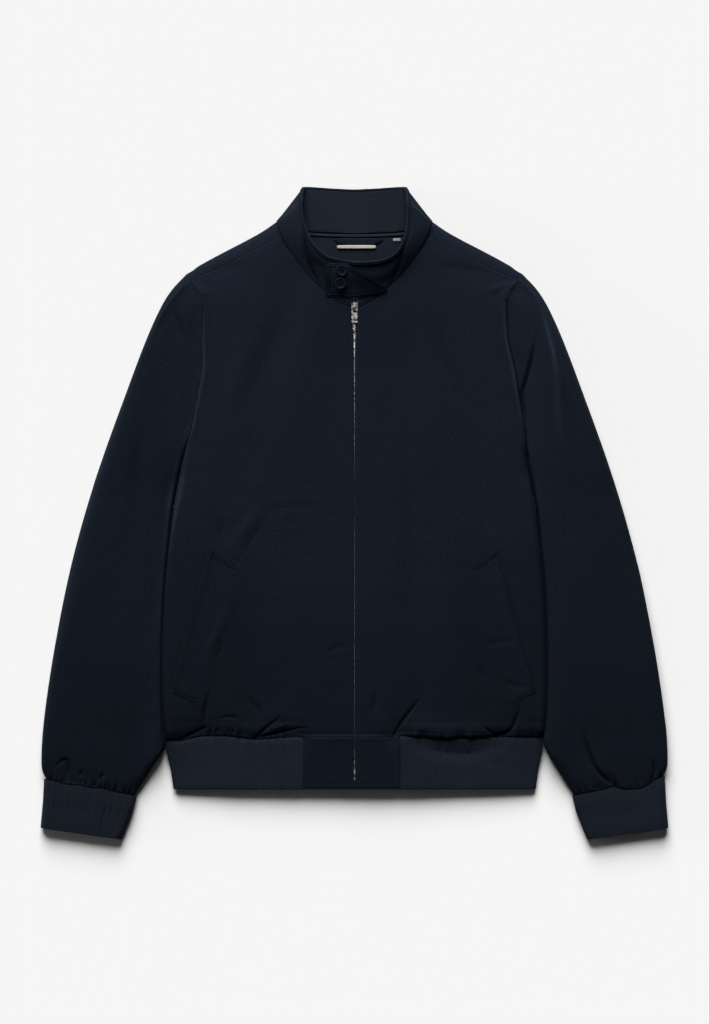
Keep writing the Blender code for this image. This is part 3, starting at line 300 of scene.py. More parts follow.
def crease_shade(points, rows, full=2.4, spread=0.55, most=1.45):
    """How much painted shade lies in the bottoms of the creases, from 0 up: the broad ones count for less.
    """
    x, y, z = (points / MM).T
    deep = np.zeros_like(x)
    for half, height, *line in rows:
        if height < 0:
            width, weight = (spread * half, 1) if half <= 5 else (half, 0.4)
            deep -= stroke(x, y, width, height, line) / full * weight
    return np.clip(deep, 0, most) * fade(z, 10, 14)


def gathers(x, y, reach, height, shortest, line, seed):
    """Small uneven puckers that run out from a seam."""
    away, _, run, _ = along_line(line, x, y)
    near = away < 4 * reach
    lift = np.zeros_like(x)
    run = run[near]
    chance = np.random.default_rng(seed)
    for share in (1, 1.45, 2.1, 3.4):
        turn = chance.uniform(0, 6.28)
        uneven = turn + 0.6 * np.sin(run / 23 + turn)
        lift[near] += np.sin(2 * math.pi * run / (shortest * share) + uneven)
    lift[near] *= 0.5 * height * np.exp(-away[near] / reach)
    return lift


# How the blouse sinks above the hem rib: y, crown, sink beside the zip, sink of the panels
SINKS = (
    (-340, 16.0, 0.0, 0.0),
    (-309, 17.0, 0.0, 0.0),
    (-297, 17.5, 0.2, 0.0),
    (-285, 18.0, 0.7, 0.0),
    (-272, 18.5, 1.4, 0.4),
    (-269, 21.0, 0.0, -0.7),
    (-266, 23.5, -2.6, -2.2),
    (-259, 26.2, -4.6, -4.0),
    (-252, 28.5, -6.2, -6.0),
    (-237, 30.0, -6.5, -6.4),
    (-178, 29.0, -3.0, -3.0),
    (-134, 28.0, -0.8, -0.8),
    (-91, 27.5, 0.0, 0.0),
)

# How the sleeves and cuffs flatten: y, share of the height
SLEEVE_SINKS = (
    (-400, 0.8), (-345, 0.82), (-325, 0.84), (-315, 0.82), (-300, 0.8), (-270, 0.84), (-230, 0.94),
    (-180, 1.0),
)

# The side of the body: y, half width, height of its edge, width of its roll
BODY_SIDES = (
    (-272, 227.3, 8.0, 13), (-252, 229.2, 10.5, 15), (-237, 230.2, 11.5, 16), (-178, 231, 11.5, 16),
    (-134, 230, 11, 16), (-91, 228, 11, 16), (-39, 223, 11, 16), (3, 218, 11, 15), (41, 210.8, 11, 14),
)


def press(x, y, z):
    """The blouse sinks onto the rib, its sides fold tighter, and the sleeve ends flatten."""
    crown = read_all(SINKS, y, 1)
    beside_zip = 1 - fade(np.abs(x), 50, 74)
    sink = read_all(SINKS, y, 2) * beside_zip + read_all(SINKS, y, 3) * (1 - beside_zip)
    high = np.clip((z - 11) / (crown - 11), 0, 1.1)
    on_body = 1 - fade(np.abs(x), 229, 233)
    z = z + sink * high * on_body
    half, edge, roll = (read_all(BODY_SIDES, y, k) for k in (1, 2, 3))
    inward = half - np.abs(x)
    raised = (24 - edge) * 0.85 * tighter(inward, 0.45 * roll, roll) * band(y, -276, -262, 20, 55)
    z = z + raised * fade(z, edge - 1, edge + 3) * (inward > -0.5)
    by_neck = band(y, 165, 252, 262, 292) * (1 - fade(np.abs(x), 44, 80))
    z = z + 3.2 * by_neck * band(z, 14, 20, 29, 34)
    on_sleeve = fade(np.abs(x), 236, 262)
    return z * (1 - on_sleeve * (1 - read_all(SLEEVE_SINKS, y, 1)))


# The wave of the seam above the hem rib: x, how far up it runs
RIB_WAVE = (
    (-230, -1.5), (-209, -3.0), (-185, 2.6), (-154, 3.8), (-116, -1.0), (-68, 2.6), (-56, 0), (48, 0),
    (56, 3.6), (80, 2.4), (111, 0), (127, 2.4), (140, 1.2), (166, 2.6), (230, 2.0),
)

# The wave of the seams above the cuffs, in the same columns
CUFF_WAVE = (
    (-372, 2.0), (-358, 1.2), (-345, -0.6), (-330, 1.4), (-315, 0.2), (-302, 2.2), (-288, 0.4), (-264, 0),
    (264, 0), (295, 1.0), (311, 2.6), (323, -3.2), (342, -5.4), (353, -2.4), (361, 3.0), (372, 5.0),
)

# The armholes in plan: y, distance out
ARMHOLE = ((41, 211), (76, 204), (101, 199), (133, 193), (169, 187), (206, 183), (244, 181), (278, 196))


# The seam above a cuff slants: its height in millimetres at one distance out, and its slope
CUFF_SEAM_Y, CUFF_SEAM_OUT, CUFF_SLOPE = -339, 264, 0.165


def above_cuff(x, y):
    return y - CUFF_SEAM_Y - (np.abs(x) - CUFF_SEAM_OUT) * CUFF_SLOPE


def drift(x, y):
    """How the seams wander in plan, in millimetres."""
    up = read_all(RIB_WAVE, x, 1) * bell(y + 272, 20)
    up += read_all(CUFF_WAVE, x, 1) * bell(above_cuff(x, y), 16) * (np.abs(x) > 250)
    armhole = bell(np.abs(x) - read_all(ARMHOLE, y, 1), 24)
    right = 4.5 * armhole * band(y, 55, 105, 165, 215)
    return right, up


def settle(points):
    """Where the points of the flat-laid cloth end up, in metres, creases and swells and all."""
    x, y, z = (points / MM).T
    plain_zip = fade(np.abs(x), 3, 12)
    upper = 0.6 * swell(x, 0.3 * y, 150, 4) + 0.3 * swell(x, 0.4 * y, 62, 9)
    upper += 0.08 * swell(x, y, 31, 12)
    upper += strokes(x, y, UPPER_CREASES)
    under = 0.8 * np.abs(swell(x, y, 170, 21)) + 0.4 * np.abs(swell(x, y, 60, 27))
    under += strokes(x, y, UNDER_CREASES)
    for k, (reach, height, shortest, *line) in enumerate(GATHERS):
        puckered = gathers(x, y, reach, height, shortest, line, 40 + k)
        upper += puckered
        under += np.abs(puckered)
    neck = np.hypot(x / 100, (y - 320) / 90)
    calm = plain_zip * fade(neck, 0.75, 1.15)
    is_upper = fade(z, 9, 15)
    is_under = 1 - fade(z, 3, 9)
    moved = points.copy()
    moved[:, 2] = MM * (press(x, y, z) + upper * is_upper * calm + under * is_under * fade(neck, 0.9, 1.2))
    moved[:, 2] = np.maximum(moved[:, 2], 0.0)
    right, up = drift(x, y)
    moved[:, 0] += right * MM
    moved[:, 1] += up * MM
    return moved


# The zip's half gap between the cloth edges: y, as cut, as it lies
ZIP_GAPS = (
    (-332, 0.7, 0.08), (-323, 1.7, 0.08), (-320.5, 1.7, 0.8), (-298, 1.7, 0.8), (-296, 1.2, 0.06),
    (-291, 0.5, 0.05), (-262, 0.52, 0.07), (-237, 0.52, 0.12), (-45, 0.6, 0.13), (-9, 0.6, 0.05),
    (75, 0.9, 0.05), (99, 1.0, 0.1), (123, 1.1, 0.2), (147, 1.2, 0.38), (171, 1.25, 0.46), (195, 1.6, 0.75),
    (207, 1.9, 1.3), (215, 2.3, 2.4), (222, 2.7, 3.6), (231, 3.2, 4.0), (237, 4.6, 4.6), (260, 4.6, 4.6),
)


def meet_at_zip(points):
    """The cloth edges nearly meet over the closed teeth."""
    x, y, _ = (points / MM).T
    shift = read_all(ZIP_GAPS, y, 1) - read_all(ZIP_GAPS, y, 2)
    moved = points.copy()
    moved[:, 0] -= np.sign(x) * shift * (1 - fade(np.abs(x), 2, 9)) * MM
    return moved


# ------------------------------------------------------------------ meshes


def points_of(piece, what="co"):
    """A piece's points, or their normals, as rows of three."""
    values = np.zeros(len(piece.data.vertices) * 3, np.float32)
    piece.data.vertices.foreach_get(what, values)
    return values.reshape(-1, 3).astype(float)


def set_points(piece, points):
    piece.data.vertices.foreach_set("co", np.asarray(points, np.float32).ravel())
    piece.data.update()


def smooth(mesh):
    mesh.polygons.foreach_set("use_smooth", [True] * len(mesh.polygons))


def put(mesh, name):
    piece = bpy.data.objects.new(name, mesh)
    bpy.context.scene.collection.objects.link(piece)
    return piece


def built(name, points, edges, faces):
    """A piece from its points, edges and faces."""
    mesh = bpy.data.meshes.new(name)
    mesh.from_pydata(points, edges, faces)
    smooth(mesh)
    return put(mesh, name)


def tree_of(points):
    """A search tree over points."""
    tree = KDTree(len(points))
    for k, point in enumerate(points):
        tree.insert(point, k)
    tree.balance()
    return tree


def baked(piece, name):
    """A plain mesh of a piece with its modifiers applied, under its final name."""
    view = bpy.context.evaluated_depsgraph_get()
    mesh = bpy.data.meshes.new_from_object(piece.evaluated_get(view), depsgraph=view)
    old = piece.data
    bpy.data.objects.remove(piece)
    bpy.data.meshes.remove(old)
    mesh.name = name
    return put(mesh, name)


def store(piece, name, values):
    mark = piece.data.attributes.get(name) or piece.data.attributes.new(name, "FLOAT", "POINT")
    mark.data.foreach_set("value", np.asarray(values, np.float32))


def stored(piece, name):
    mark = piece.data.attributes[name]
    values = np.zeros(len(mark.data), np.float32)
    mark.data.foreach_get("value", values)
    return values.astype(float)


def lay_grain(piece, turn=0.0, plan=None):
    """A UV map in metres along and across the cloth's grain."""
    mesh = piece.data
    if plan is None:
        plan = points_of(piece)[:, :2]
    c, s = math.cos(turn), math.sin(turn)
    plan = np.stack([plan[:, 0] * c + plan[:, 1] * s, plan[:, 1] * c - plan[:, 0] * s], axis=1)
    corners = np.zeros(len(mesh.loops), np.int32)
    mesh.loops.foreach_get("vertex_index", corners)
    layer = mesh.uv_layers.get("grain") or mesh.uv_layers.new(name="grain")
    layer.uv.foreach_set("vector", plan[corners].astype(np.float32).ravel())


def panel(name, levels=3, corner=50.0, crease=0.5):
    """A smooth fine copy of a cloth solid, with its cut edges marked and just rounded."""
    mesh = bmesh.new()
    mesh.from_mesh(nodes[name].data)
    bmesh.ops.remove_doubles(mesh, verts=mesh.verts, dist=1e-5)
    flattest, squarest = math.radians(60), math.radians(180)
    bmesh.ops.join_triangles(
        mesh, faces=mesh.faces, angle_face_threshold=flattest, angle_shape_threshold=squarest
    )
    sharp = mesh.edges.layers.float.new("crease_edge")
    pinned = mesh.verts.layers.float.new("crease_vert")
    rim = mesh.verts.layers.float.new("rim")
    ways = {}
    for edge in mesh.edges:
        if len(edge.link_faces) == 2 and edge.calc_face_angle(0) > math.radians(corner):
            edge[sharp] = crease
            for vertex in edge.verts:
                vertex[rim] = 1.0
                way = edge.other_vert(vertex).co - vertex.co
                ways.setdefault(vertex, []).append(way.normalized())
    bent = -0.85
    for vertex, found in ways.items():
        if len(found) > 2 or (len(found) == 2 and found[0].dot(found[1]) > bent):
            vertex[pinned] = 0.9
    clean = bpy.data.meshes.new(name)
    mesh.to_mesh(clean)
    mesh.free()
    smooth(clean)
    piece = put(clean, f"{name}_rough")
    fine = piece.modifiers.new("fine", "SUBSURF")
    fine.levels = levels
    fine.render_levels = levels
    return baked(piece, f"{name}_cloth")


def refine(piece):
    """Smaller faces on the upper side wherever the cloth is sharply creased or gathered."""
    mesh = bmesh.new()
    mesh.from_mesh(piece.data)
    x, y, z = (np.array([face.calc_center_median() for face in mesh.faces]) / MM).T
    near = np.zeros(len(x), bool)
    for half, _, *line in UPPER_CREASES:
        if half <= 3:
            near |= beside(curved(line), x, y) < 1.9 * half + 1
    for reach, _, _, *line in GATHERS:
        near |= beside(line, x, y) < 1.15 * reach
    wanted = {edge for face, fine in zip(mesh.faces, near & (z > 10)) if fine for edge in face.edges}
    bmesh.ops.subdivide_edges(mesh, edges=list(wanted), cuts=1, use_grid_fill=True)
    mesh.to_mesh(piece.data)
    mesh.free()
    smooth(piece.data)


def on_rim(piece, almost=0.995):
    """Which points are on the piece's cut edge itself."""
    return stored(piece, "rim") > almost


def rim_distance(piece, chosen=None):
    """How far each point is from the piece's cut edge, or from a chosen stretch of it."""
    points = points_of(piece)
    rim = on_rim(piece)
    if chosen is not None:
        rim &= chosen(*(points / MM).T)
    tree = tree_of(points[rim])
    return np.array([tree.find(point)[2] for point in points])


def contour(piece, values, level, keep=None):
    """Lines on a piece's surface where a value of its points passes a level."""
    mesh = piece.data
    points = points_of(piece)
    above = values > level
    cuts, places, links = {}, [], []
    for face in mesh.polygons:
        marks = face.vertices
        if keep is not None and not keep[marks[0]]:
            continue
        crossed = []
        for a, b in zip(marks, (*marks[1:], marks[0])):
            if above[a] != above[b]:
                key = (a, b) if a < b else (b, a)
                if key not in cuts:
                    share = (level - values[key[0]]) / (values[key[1]] - values[key[0]])
                    cuts[key] = len(places)
                    places.append(points[key[0]] + (points[key[1]] - points[key[0]]) * share)
                crossed.append(cuts[key])
        if len(crossed) == 2:
            links.append(crossed)
    return np.array(places).reshape(-1, 3), links


# ------------------------------------------------------------------ materials


class Wire:
    """One output of a node, which takes part in sums as a number does."""

    def __init__(self, recipe, socket):
        self.recipe = recipe
        self.socket = socket

    def step(self, operation, *values):
        return self.recipe.node("ShaderNodeMath", {"operation": operation}, *values)

    def __add__(self, other):
        return self.step("ADD", self, other)

    def __sub__(self, other):
        return self.step("SUBTRACT", self, other)

    def __rsub__(self, other):
        return self.step("SUBTRACT", other, self)

    def __mul__(self, other):
        return self.step("MULTIPLY", self, other)

    __radd__ = __add__
    __rmul__ = __mul__

    def sine(self):
        return self.step("SINE", self)

    def size(self):
        return self.step("ABSOLUTE", self)

    def high(self, start, end):
        """0 up to start, 1 from end on, smooth between."""
        settings = {"interpolation_type": "SMOOTHSTEP"}
        return self.recipe.node("ShaderNodeMapRange", settings, self, start, end, 0.0, 1.0)

    def low(self, start, end):
        return 1.0 - self.high(start, end)

    def between(self, start, full, last, end):
        return self.high(start, full) * self.low(last, end)


class Tree:
    """A node tree as it is built."""

    def __init__(self, tree):
        self.tree = tree

    def join(self, value, socket):
        """Links a wire to a socket, or sets the socket's own value."""
        if isinstance(value, Wire):
            self.tree.links.new(value.socket, socket)
        elif value is not None:
            socket.default_value = value

    def node(self, kind, settings, *values, out=0, **named):
        made = self.tree.nodes.new(kind)
        for key, value in settings.items():
            setattr(made, key, value)
        for key, value in enumerate(values):
            self.join(value, made.inputs[key])
        for key, value in named.items():
            self.join(value, made.inputs[key.replace("_", " ")])
        return Wire(self, made.outputs[out])


class Recipe(Tree):
    """A material's nodes, ending in one Principled surface."""

    def __init__(self, name, colour, roughness, **fixed):
        self.material = bpy.data.materials.new(name)
        self.material.use_nodes = True
        super().__init__(self.material.node_tree)
        self.surface = self.tree.nodes["Principled BSDF"]
        self.feed(Base_Color=(*colour, 1), Roughness=roughness, **fixed)

    def feed(self, **values):
        """Sets or links the surface's sockets, and gives the material back."""
        for key, value in values.items():
            self.join(value, self.surface.inputs[key.replace("_", " ")])
        return self.material

    def place(self):
        return self.node("ShaderNodeTexCoord", {}, out="Object")

    def grain(self):
        return self.node("ShaderNodeUVMap", {"uv_map": "grain"})

    def parts(self, vector):
        return [self.node("ShaderNodeSeparateXYZ", {}, vector, out=k) for k in range(3)]

    def mark(self, name):
        return self.node("ShaderNodeAttribute", {"attribute_name": name}, out="Fac")

    def noise(self, where, scale, detail=2.0, rough=0.5):
        kind = "ShaderNodeTexNoise"
        return self.node(kind, {}, Vector=where, Scale=scale, Detail=detail, Roughness=rough)

    def drawn(self, where, stretch, scale, detail):
        """Noise drawn out along one way of the cloth or metal."""
        return self.noise(self.node("ShaderNodeMapping", {}, Vector=where, Scale=stretch), scale, detail)

    def mix(self, share, first, second):
        """A colour between two."""
        made = self.tree.nodes.new("ShaderNodeMix")
        made.data_type = "RGBA"
        self.join(share, made.inputs[0])
        for key, colour in ((6, first), (7, second)):
            self.join(colour if isinstance(colour, Wire) else (*colour, 1), made.inputs[key])
        return Wire(self, made.outputs[2])

    def relief(self, height, depth, under=None):
        """Fine relief of this depth in metres where height is 1."""
        kind = "ShaderNodeBump"
        return self.node(kind, {}, Strength=1.0, Distance=depth, Height=height, Normal=under)


def darker(colour, share):
    return tuple(channel * share for channel in colour)


def pile(roughness, tint):
    """The faint sheen of a cloth's own fibres."""
    return {"Sheen_Weight": 0.012, "Sheen_Roughness": roughness, "Sheen_Tint": tint}


def wave(value, length, shift=0.0):
    """A sine of this length in metres."""
    return (value * (2 * math.pi / length) + shift).sine()


def line_at(value, start, end):
    """1 on the line where a value is 0, fading out from start to end beside it."""
    return value.size().low(start, end)


# How far in from a free edge its roll ends and its row of stitches runs, in metres
ROLL_LINE = 0.0026
STITCH_ROW = 0.0052

NAVY = (0.0070, 0.0105, 0.0176)
RIB_NAVY = (0.0112, 0.0146, 0.0224)


def twill(name, colour=NAVY, rolled=1.0, double=0.0):
    """Fine cotton twill: a steep diagonal line, slubs, soft shade changes and pressed edges, with painted
    shade and painted highlights.
    """
    cloth = Recipe(name, colour, 0.82, Specular_IOR_Level=0.035, **pile(0.4, (0.5, 0.66, 0.9, 1)))
    where = cloth.place()
    grain = cloth.grain()
    u, v, _ = cloth.parts(grain)
    wander = cloth.noise(grain, 900.0, 2.0)
    line = wave(u + v * 0.62, 0.00062, wander * 2.2)
    pick = wave(v, 0.00048, u * 900.0)
    slub = cloth.drawn(grain, (1.0, 0.12, 1.0), 2600.0, 1.0)
    speckle = cloth.noise(grain, 520.0, 3.0, 0.7)
    broad = cloth.noise(where, 7.0, 3.0, 0.55)
    middle = cloth.noise(where, 60.0, 3.0, 0.6)
    edge = cloth.mark("edge")
    # Paler within about 2 mm of every cut edge
    edge_pale = edge.low(0.0, 0.0022) * 0.15
    shade = broad * 0.2 + middle * 0.12 + slub * 0.35 + speckle * 2.3 + line * 0.05 + edge_pale - 1.06
    # A dark line along the marked seams; along and beside the welt mouths it is painted shadow under the
    # mouth's edge
    groove = line_at(cloth.mark("seam"), 0.0003, 0.0012) * cloth.mark("sewn")
    tint = cloth.mix(shade.high(0.0, 1.0), darker(colour, 0.62), darker(colour, 1.5))
    # Painted shade, broad, by place: darker low down, on the sleeves, on the right sleeve's upper part and
    # at the flanks, and less dark on the strip just above the hem rib, against the shade of its slope
    x, y, _ = cloth.parts(where)
    out = x.size()
    lower = y.low(-0.34, 0.2)
    sleeves = out.high(0.2, 0.3)
    right_sleeve = y.high(0.0, 0.1) * x.low(-0.24, -0.2)
    flank = out.between(0.085, 0.15, 0.22, 0.24) * y.low(-0.07, 0.01)
    hem = y.between(-0.28, -0.271, -0.268, -0.256) * out.low(0.2, 0.22)
    broad_shade = lower * 0.36 + sleeves * 0.1 + right_sleeve * 0.2 + flank * 0.15 - hem * 0.25
    tint = cloth.mix(broad_shade, tint, darker(colour, 0.25))
    # Painted highlights on rolled edges and crests, where the cloth is marked lit
    tint = cloth.mix(cloth.mark("lit") * 0.7, tint, darker(colour, 2.6))
    bars = line_at((cloth.mark("bar") - ROLL_LINE).size() - 0.0017, 0.0003, 0.001)
    free = cloth.mark("stitched")
    # The dark line in the valley of the collar's double roll is painted shade
    rolls = line_at(free - ROLL_LINE, 0.0002, 0.0012) * double
    # Painted shade beside the armhole seams
    dip = cloth.mark("dip").high(0.001, 0.0018)
    # Painted shade in the creases, under the collar's rim and over the tab's upper part, with the dark seam
    # lines and bars
    dark = groove * 0.85 + bars * 0.95 + cloth.mark("deep") * 0.6 + rolls * 0.6 + dip * 0.72
    weave = line * 0.5 + pick * 0.22 + slub * 1.1
    row = line_at(free - STITCH_ROW, 0.0002, 0.0013)
    fold = edge.high(0.0, 0.0013)
    seams = fold * 0.45 * rolled - row * 0.3 * rolled - groove * 0.5 - bars * 0.5 - rolls * 0.7
    return cloth.feed(
        Base_Color=cloth.mix(dark, tint, darker(colour, 0.28)),
        Roughness=middle * 0.16 + slub * 0.12 + 0.7,
        Normal=cloth.relief(weave, 0.00006, cloth.relief(seams, 0.0006)),
    )


def rib_knit(name, colour=RIB_NAVY, pitch=0.0022):
    """Rib knit: wales up the UV's second direction, with their small stitches."""
    knit = Recipe(name, colour, 0.9, Specular_IOR_Level=0.02, **pile(0.5, (0.55, 0.68, 0.9, 1)))
    where = knit.place()
    grain = knit.grain()
    u, v, _ = knit.parts(grain)
    wale = wave(u, pitch)
    lean = wave(u, 2 * pitch).size()
    stitch = wave(v + lean * 0.0006, 0.0011)
    fuzz = knit.noise(grain, 3200.0, 2.0)
    broad = knit.noise(where, 9.0, 3.0)
    speckle = knit.noise(grain, 680.0, 3.0, 0.7)
    shade = wale * 0.08 + stitch * 0.05 + fuzz * 0.35 + speckle * 2.4 + broad * 0.2 - 1.02
    tint = knit.mix(shade.high(0.0, 1.0), darker(colour, 0.5), darker(colour, 1.5))
    # Painted shade, broad, by place: darker towards the cuffs' seams, at the hem's right end, and a little
    # over the hem's left half and the left cuff near its seam
    x, y, _ = knit.parts(where)
    cuff = x.size().high(0.24, 0.26)
    slant = (x.size() - CUFF_SEAM_OUT * MM) * CUFF_SLOPE
    rise = (y - slant - CUFF_SEAM_Y * MM).high(-0.042, -0.008)
    broad_shade = cuff * rise * 0.62 + x.low(-0.225, -0.188) * 0.15
    broad_shade = broad_shade + x.high(0.0, 0.03) * (1.0 - cuff * (1.0 - rise)) * 0.12
    groove = line_at(knit.mark("seam"), 0.0003, 0.0012)
    return knit.feed(
        Base_Color=knit.mix(broad_shade + groove * 0.5, tint, darker(colour, 0.3)),
        Roughness=fuzz * 0.14 + 0.8,
        Normal=knit.relief(wale * 0.5 + stitch * 0.3 + fuzz * 0.5, 0.0001),
    )


def plain_weave(name, colour, pitch=0.0004, roughness=0.6):
    """Smooth woven cloth of lining, piping, tape and labels."""
    cloth = Recipe(name, colour, roughness, Specular_IOR_Level=0.05)
    grain = cloth.grain()
    u, v, _ = cloth.parts(grain)
    weave = wave(u, pitch) * wave(v, pitch)
    broad = cloth.noise(cloth.place(), 40.0, 3.0)
    fuzz = cloth.noise(grain, 2600.0, 1.0)
    shade = weave * 0.14 + broad * 0.5 + fuzz * 0.3
    return cloth.feed(
        Base_Color=cloth.mix(shade.high(0.0, 1.0), darker(colour, 0.75), darker(colour, 1.2)),
        Roughness=broad * 0.15 + (roughness - 0.08),
        Normal=cloth.relief(weave * 0.5 + fuzz * 0.4, 0.00005),
    )


def thread(name, colour):
    """Twisted sewing thread."""
    strand = Recipe(name, colour, 0.75, Specular_IOR_Level=0.05)
    where = strand.place()
    x, y, z = strand.parts(where)
    twist = wave(x + y + z, 0.0005)
    shade = (twist * 0.2 + strand.noise(where, 1800.0, 2.0)).high(0.1, 0.9)
    tint = strand.mix(shade, darker(colour, 0.6), darker(colour, 1.4))
    return strand.feed(Base_Color=tint, Normal=strand.relief(twist, 0.00004))


def zip_metal():
    """Bright nickel, a little brushed, with fine scratches, and with painted reflections and shade: its
    colour paler and darker in blotches, near-black patches, and a dark line at a step across the box.
    """
    metal = Recipe("zip_metal_finish", (0.62, 0.61, 0.58), 0.28, Metallic=1.0)
    where = metal.place()
    brushed = metal.drawn(where, (1.0, 0.06, 1.0), 2400.0, 3.0)
    blotch = metal.noise(where, 330.0, 2.0)
    _, y, _ = metal.parts(where)
    # Painted shade and reflections: a dark line at a step across the zip's box, and near-black patches for
    # the metal's dark reflections
    step = line_at(y + 0.3172, 0.0004, 0.0009)
    dark_patches = blotch.low(0.4, 0.52) * 0.85 + step
    # Painted reflections: the metal's colour paler and darker in blotches
    bright = metal.mix((blotch + brushed * 0.4 - 0.2).high(0.1, 0.9), (0.42, 0.41, 0.4), (0.74, 0.73, 0.7))
    return metal.feed(
        Base_Color=metal.mix(dark_patches, bright, (0.03, 0.03, 0.032)),
        Roughness=brushed * 0.2 + blotch * 0.14 + 0.32,
        Normal=metal.relief(blotch + brushed * 0.1, 0.0003),
    )


def button_plastic():
    """Dark polyester: polished, with a faint marbled grain."""
    resin = Recipe("button_finish", (0.006, 0.008, 0.012), 0.6, Specular_IOR_Level=0.05)
    grain = resin.drawn(resin.place(), (1.0, 3.0, 1.0), 420.0, 4.0)
    tint = resin.mix(grain.high(0.3, 0.75), (0.004, 0.006, 0.009), (0.009, 0.012, 0.017))
    return resin.feed(Base_Color=tint, Roughness=grain * 0.2 + 0.4, Normal=resin.relief(grain, 0.00002))


def finish_in(piece, material):
    piece.data.materials.clear()
    piece.data.materials.append(material)


def dress(piece, material, *replaced, slot=None):
    finish_in(piece, material)
    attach(piece, JACKET)
    if replaced:
        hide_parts(*replaced)
    return piece


# ------------------------------------------------------------------ what repeats along a line


class Jig(Tree):
    """A Geometry Nodes tree that sets small shapes along lines, and bakes them to a plain mesh."""

    def __init__(self, name, **sizes):
        super().__init__(bpy.data.node_groups.new(name, "GeometryNodeTree"))
        face = self.tree.interface
        face.new_socket("Geometry", in_out="INPUT", socket_type="NodeSocketGeometry")
        face.new_socket("Geometry", in_out="OUTPUT", socket_type="NodeSocketGeometry")
        self.keys = {}
        for size, value in sizes.items():
            socket = face.new_socket(size, in_out="INPUT", socket_type="NodeSocketFloat")
            socket.default_value = value
            self.keys[size] = socket.identifier
        cloth = face.new_socket("Material", in_out="INPUT", socket_type="NodeSocketMaterial")
        self.keys["Material"] = cloth.identifier
        self.start = self.tree.nodes.new("NodeGroupInput")
        self.end = self.tree.nodes.new("NodeGroupOutput")

    def given(self, name):
        return Wire(self, self.start.outputs[name])

    def even_points(self):
        """Points at every pitch along the lines."""
        curve = self.node("GeometryNodeMeshToCurve", {}, Mesh=self.given("Geometry"))
        pitch = self.given("Pitch")
        return self.node("GeometryNodeResampleCurve", {"mode": "LENGTH"}, Curve=curve, Length=pitch)

    def set_along(self, points, shape, axis, **sized):
        """A copy of a shape at every point, with one of its axes along the line."""
        way = self.node("GeometryNodeInputTangent", {})
        turn = self.node("FunctionNodeAlignRotationToVector", {"axis": axis}, Vector=way)
        kind = "GeometryNodeInstanceOnPoints"
        return self.node(kind, {}, Points=points, Instance=shape, Rotation=turn, **sized)

    def finish(self, geometry):
        shaded = self.node("GeometryNodeSetShadeSmooth", {}, Geometry=geometry)
        real = self.node("GeometryNodeRealizeInstances", {}, Geometry=shaded)
        painted = self.node("GeometryNodeSetMaterial", {}, Geometry=real, Material=self.given("Material"))
        self.join(painted, self.end.inputs["Geometry"])
        return self

    def run(self, piece, name, material, **sizes):
        """The tree's result on a piece, as a plain mesh under its final name."""
        modifier = piece.modifiers.new("jig", "NODES")
        modifier.node_group = self.tree
        modifier[self.keys["Material"]] = material
        for size, value in sizes.items():
            modifier[self.keys[size]] = value
        made = baked(piece, name)
        if not made.data.materials:
            made.data.materials.append(material)
        return made


def stitch_jig():
    """Short rounded stitches end to end along every line of a mesh of edges."""
    jig = Jig("stitch_row", Pitch=0.0028, Length=0.0021, Thickness=0.0004)
    thick, length = jig.given("Thickness"), jig.given("Length")
    bead = jig.node("GeometryNodeMeshUVSphere", {}, Segments=6, Rings=4, Radius=0.5)
    size = jig.node("ShaderNodeCombineXYZ", {}, X=thick, Y=thick, Z=length)
    strand = jig.node("GeometryNodeTransform", {}, Geometry=bead, Scale=size)
    return jig.finish(jig.set_along(jig.even_points(), strand, "Z"))


def tooth_jig():
    """Zip teeth across a line, as wide as the line's own gap at each place."""
    jig = Jig("zip_teeth", Pitch=0.0024, Thickness=0.0012, Height=0.0013)
    block = jig.node("GeometryNodeMeshCube", {}, Size=(1.0, 1.0, 1.0))
    rounded = jig.node("GeometryNodeSubdivisionSurface", {}, Mesh=block, Level=1, Edge_Crease=0.55)
    width = jig.node("GeometryNodeInputNamedAttribute", {"data_type": "FLOAT"}, Name="gap")
    size = jig.node("ShaderNodeCombineXYZ", {}, X=width, Y=jig.given("Thickness"), Z=jig.given("Height"))
    return jig.finish(jig.set_along(jig.even_points(), rounded, "Y", Scale=size))


def lines_mesh(name, lines, gaps=None):
    """A mesh of edges only: each line is a list of points in metres, or points and their links."""
    places, links, widths = [], [], []
    for k, line in enumerate(lines):
        base = len(places)
        if isinstance(line, tuple):
            points, pairs = line
            links += [(a + base, b + base) for a, b in pairs]
        else:
            points = line
            links += [(base + i, base + i + 1) for i in range(len(points) - 1)]
        places += [tuple(point) for point in points]
        if gaps is not None:
            widths += list(gaps[k])
    piece = built(name, places, links, [])
    if gaps is not None:
        store(piece, "gap", widths)
    return piece


# ------------------------------------------------------------------ panels

# Panels: node, turn of the grain in degrees, width and length of the cut, area, what it rests on
PANELS = (
    ("back", 0, 0.52, 0.70, 0.262, "hem_rib"),
    ("front_right", 0, 0.26, 0.68, 0.1265, "back"),
    ("front_left", 0, 0.26, 0.68, 0.126, "back"),
    ("sleeve_top_right", -16, 0.19, 0.62, 0.0685, "sleeve_under_right"),
    ("sleeve_top_left", 16, 0.19, 0.62, 0.0685, "sleeve_under_left"),
    ("sleeve_under_right", -16, 0.20, 0.64, 0.074, "back"),
    ("sleeve_under_left", 16, 0.20, 0.64, 0.074, "back"),
)

# Where a sleeve's inner edge lies against the body: y, its distance out, how far it slips in
SLEEVE_TUCKS = (
    (55, 210, 0.0), (20, 216, 1.4), (-5, 221, 2.4), (-50, 226, 3.0), (-100, 230.5, 3.2), (-150, 232.5, 3.2),
    (-200, 233.5, 4.0), (-240, 233, 4.4), (-262, 233.4, 6.5), (-281, 234, 8.6), (-305, 244.5, 3.6),
    (-330, 257, 0.3), (-345, 264, 0.0),
)

